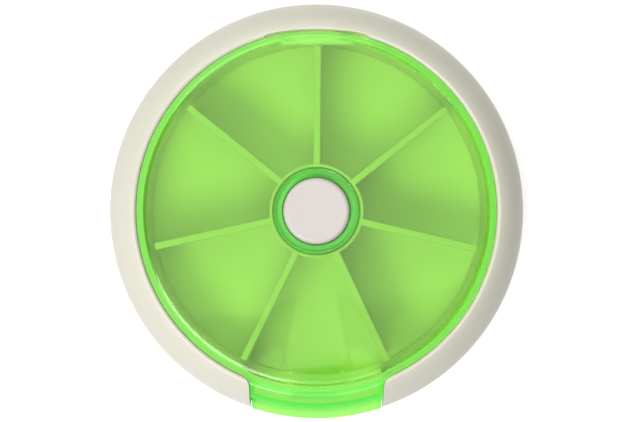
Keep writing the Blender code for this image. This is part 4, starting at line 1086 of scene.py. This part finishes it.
def lid_hinge():
    far = LID_RADIUS + OVERRUN
    pocket_half = KNUCKLE_HALF + SEAT_GAP
    gap = block("gap", (-BREAK_HALF, HINGE_Y - LID_WALL - SKIRT_WALL, 0.0),
                (BREAK_HALF, far, HINGE_Z - BREAK_DROP))
    combine(lid, "DIFFERENCE", gap)
    for side in (-1, 1):
        start, end = sorted((side * (pocket_half - EAR_STEP), side * EAR_END))
        ear = cross_rod("ear", EAR_RADIUS, start, end, HINGE_Y, HINGE_Z)
        web = block("web", (start + EAR_STEP, HINGE_Y - EAR_RADIUS + EAR_STEP, HINGE_Z),
                    (end - EAR_STEP, HINGE_Y, LID_TOP - LID_WALL))
        combine(lid, "UNION", ear, web)
    pocket = cross_rod("pocket", KNUCKLE_RADIUS + SEAT_GAP, -pocket_half, pocket_half, HINGE_Y, HINGE_Z)
    sweep = block("sweep", (-pocket_half, HINGE_Y, 0.0), (pocket_half, far, HINGE_Z + SWEEP_RISE))
    bore_half = EAR_END + SEAT_GAP
    bore = cross_rod("bore", PIN_HOLE, -bore_half, bore_half, HINGE_Y, HINGE_Z)
    combine(lid, "DIFFERENCE", pocket, sweep, bore)


lid_hinge()
dress(lid, "lid_body", "lid")

# %% [markdown]
# The wheel has a hub ring, a floor and seven vanes whose outer ends are free. The hub and the
# floor are one turned section. Each vane is a thin cube turned to its place, all their edges are
# softly beveled together, and their roots run into the hub. The whole set is turned by half a
# degree, as the picture shows it.

# %% Compartment wheel
VANE_COUNT = 7
PITCH = TURN / VANE_COUNT
VANE_TURN = math.radians(-0.46)
VANE_THICK = 1.5 * MM
VANE_TIP = 35.2 * MM
VANE_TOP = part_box("compartment_wheel")[1][2]
WHEEL_RADIUS = 36.45 * MM
WHEEL_BORE = 5.85 * MM
WHEEL_FLOOR = 3.4 * MM
WHEEL_FLOOR_TOP = 4.6 * MM
WHEEL_CROWN = 0.22 * MM
HUB_INNER = 9.35 * MM
HUB_OUTER = 10.05 * MM
HUB_ROOT = 0.6 * MM


def wheel_section():
    crown = WHEEL_CROWN
    section = arc(HUB_OUTER - crown, VANE_TOP - crown, crown, crown, math.pi / 2, 0.0, 4)
    section += arc(HUB_OUTER + HUB_ROOT, WHEEL_FLOOR_TOP + HUB_ROOT, HUB_ROOT, HUB_ROOT,
                   math.pi, 1.5 * math.pi, 5)
    section += arc(WHEEL_RADIUS - crown, WHEEL_FLOOR_TOP - crown, crown, crown, math.pi / 2, 0.0, 3)
    section += [(WHEEL_RADIUS, WHEEL_FLOOR), (WHEEL_BORE, WHEEL_FLOOR)]
    section += [(WHEEL_BORE, WHEEL_FLOOR_TOP), (HUB_INNER, WHEEL_FLOOR_TOP)]
    section += arc(HUB_INNER + crown, VANE_TOP - crown, crown, crown, math.pi, math.pi / 2, 4)[:-1]
    return section


def make_vanes():
    inner = (HUB_INNER + HUB_OUTER) / 2
    low = (WHEEL_FLOOR + WHEEL_FLOOR_TOP) / 2
    middle = ((VANE_TIP + inner) / 2, 0.0, (VANE_TOP + low) / 2)
    vanes = bmesh.new()
    for index in range(VANE_COUNT):
        made = bmesh.ops.create_cube(vanes, size=1.0)["verts"]
        bmesh.ops.scale(vanes, verts=made, vec=(VANE_TIP - inner, VANE_THICK, VANE_TOP - low))
        bmesh.ops.translate(vanes, verts=made, vec=middle)
        turn = Matrix.Rotation(math.pi / 2 - index * PITCH + VANE_TURN, 3, "Z")
        bmesh.ops.rotate(vanes, verts=made, matrix=turn)
    bmesh.ops.bevel(vanes, geom=list(vanes.edges), offset=WHEEL_CROWN, segments=3, profile=0.5,
                    affect="EDGES", material=-1)
    return finished("vanes", vanes)


wheel = turned("wheel_skin", wheel_section(), WHEEL_WHITE)
combine(wheel, "UNION", make_vanes())
dress(wheel, "wheel_body", "compartment_wheel")

# %% [markdown]
# The button is a plain round cap with a generous edge and a face that dips a little in the
# middle. It stands a little proud of the lid, and its skirt goes down inside the lid's collar
# with a thin dark gap all round. A six-sided socket under the cap takes the post.

# %% Button
BUTTON_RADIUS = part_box("button")[1][0]
BUTTON_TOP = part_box("button")[1][2]
BUTTON_STEPS = 96
BUTTON_SKIRT = 13.0 * MM
BUTTON_WALL = 1.2 * MM
BUTTON_CAP = 1.5 * MM
BUTTON_FILLET = 0.9 * MM
FACE_DIP = 0.12 * MM
FACE_STEPS = 14
STEM_RADIUS = 3.9 * MM
STEM_BOTTOM = 13.8 * MM
SOCKET_RADIUS = 2.85 * MM


def button_section():
    flat = BUTTON_RADIUS - BUTTON_FILLET
    inner = BUTTON_RADIUS - BUTTON_WALL
    roof = BUTTON_TOP - BUTTON_CAP
    section = []
    for step in range(FACE_STEPS):
        share = step / FACE_STEPS
        section.append((flat * share, BUTTON_TOP - FACE_DIP * (1 - share ** 4)))
    section += arc(flat, BUTTON_TOP - BUTTON_FILLET, BUTTON_FILLET, BUTTON_FILLET, math.pi / 2, 0.0, 12)
    section += [(BUTTON_RADIUS, BUTTON_SKIRT), (inner, BUTTON_SKIRT), (inner, roof)]
    return section + [(STEM_RADIUS, roof), (STEM_RADIUS, STEM_BOTTOM), (0.0, STEM_BOTTOM)]


button = turned("button_cap", button_section(), BUTTON_WHITE, steps=BUTTON_STEPS)
socket = rod("socket", SOCKET_RADIUS, 0.0, BUTTON_TOP - BUTTON_CAP, steps=6)
combine(button, "DIFFERENCE", socket)
dress(button, "button_body", "button")

# %% [markdown]
# The small inner pieces keep their solids from the frame and only get their finish: brushed
# steel for the pin, the screws and the springs, and the wheel's white for the driver and post.

# %% Steel and inner pieces
STEEL_NODES = ("hinge_pin", "post_screw", "return_spring", "detent_leaf", "case_screw_1",
               "case_screw_2", "case_screw_3", "case_screw_4")
PLASTIC_NODES = ("index_driver", "center_post")
BRUSH_SCALE = 900.0
STEEL_ROUGHNESS, STEEL_SPREAD = 0.28, 0.16


def steel():
    made = bpy.data.materials.new("steel")
    tree = Tree(made)
    brushed = clouds(tree, object_place(tree), BRUSH_SCALE, 3.0)
    tone = mix_color(tree, brushed, paint(0.52, 0.52, 0.50), paint(0.68, 0.68, 0.66))
    shader = tree.node("ShaderNodeBsdfPrincipled", inputs={
        "Base Color": tone, "Metallic": 1.0,
        "Roughness": STEEL_ROUGHNESS + (brushed - 0.5) * STEEL_SPREAD})
    tree.node("ShaderNodeOutputMaterial", inputs={"Surface": shader})
    return made


def refinish(names, finish):
    for name in names:
        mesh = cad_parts[name].data
        mesh.materials.clear()
        mesh.materials.append(finish)


refinish(STEEL_NODES, steel())
refinish(PLASTIC_NODES, WHEEL_WHITE)
print("finished", len(STEEL_NODES) + len(PLASTIC_NODES), "inner pieces")

# %% [markdown]
# The table is a plain pale sheet. It keeps the object's soft shadow, and a little light of its
# own towards the camera makes it as white as the picture's ground. Seen straight, in a
# reflection or through the lid it is that white, while the object gets no more light from it.

# %% Table
TABLE_HALF = 1.5
TABLE_PAPER = paint(0.62, 0.62, 0.62)
TABLE_GLOW = 0.68


def table_white():
    made = bpy.data.materials.new("table_white")
    tree = Tree(made)
    paper = tree.node("ShaderNodeBsdfDiffuse", inputs={"Color": TABLE_PAPER})
    glow = tree.node("ShaderNodeEmission",
                     inputs={"Color": paint(1.0, 1.0, 1.0), "Strength": TABLE_GLOW})
    both = tree.node("ShaderNodeAddShader", inputs={0: paper, 1: glow})
    seen = ray(tree, "Camera") + ray(tree, "Glossy") + ray(tree, "Transmission")
    tree.node("ShaderNodeOutputMaterial", inputs={"Surface": mix_shader(tree, seen, paper, both)})
    return made


sheet = bmesh.new()
bmesh.ops.create_grid(sheet, x_segments=1, y_segments=1, size=TABLE_HALF)
finished("table", sheet, table_white())
print("table at height 0, half its side", TABLE_HALF, "m")
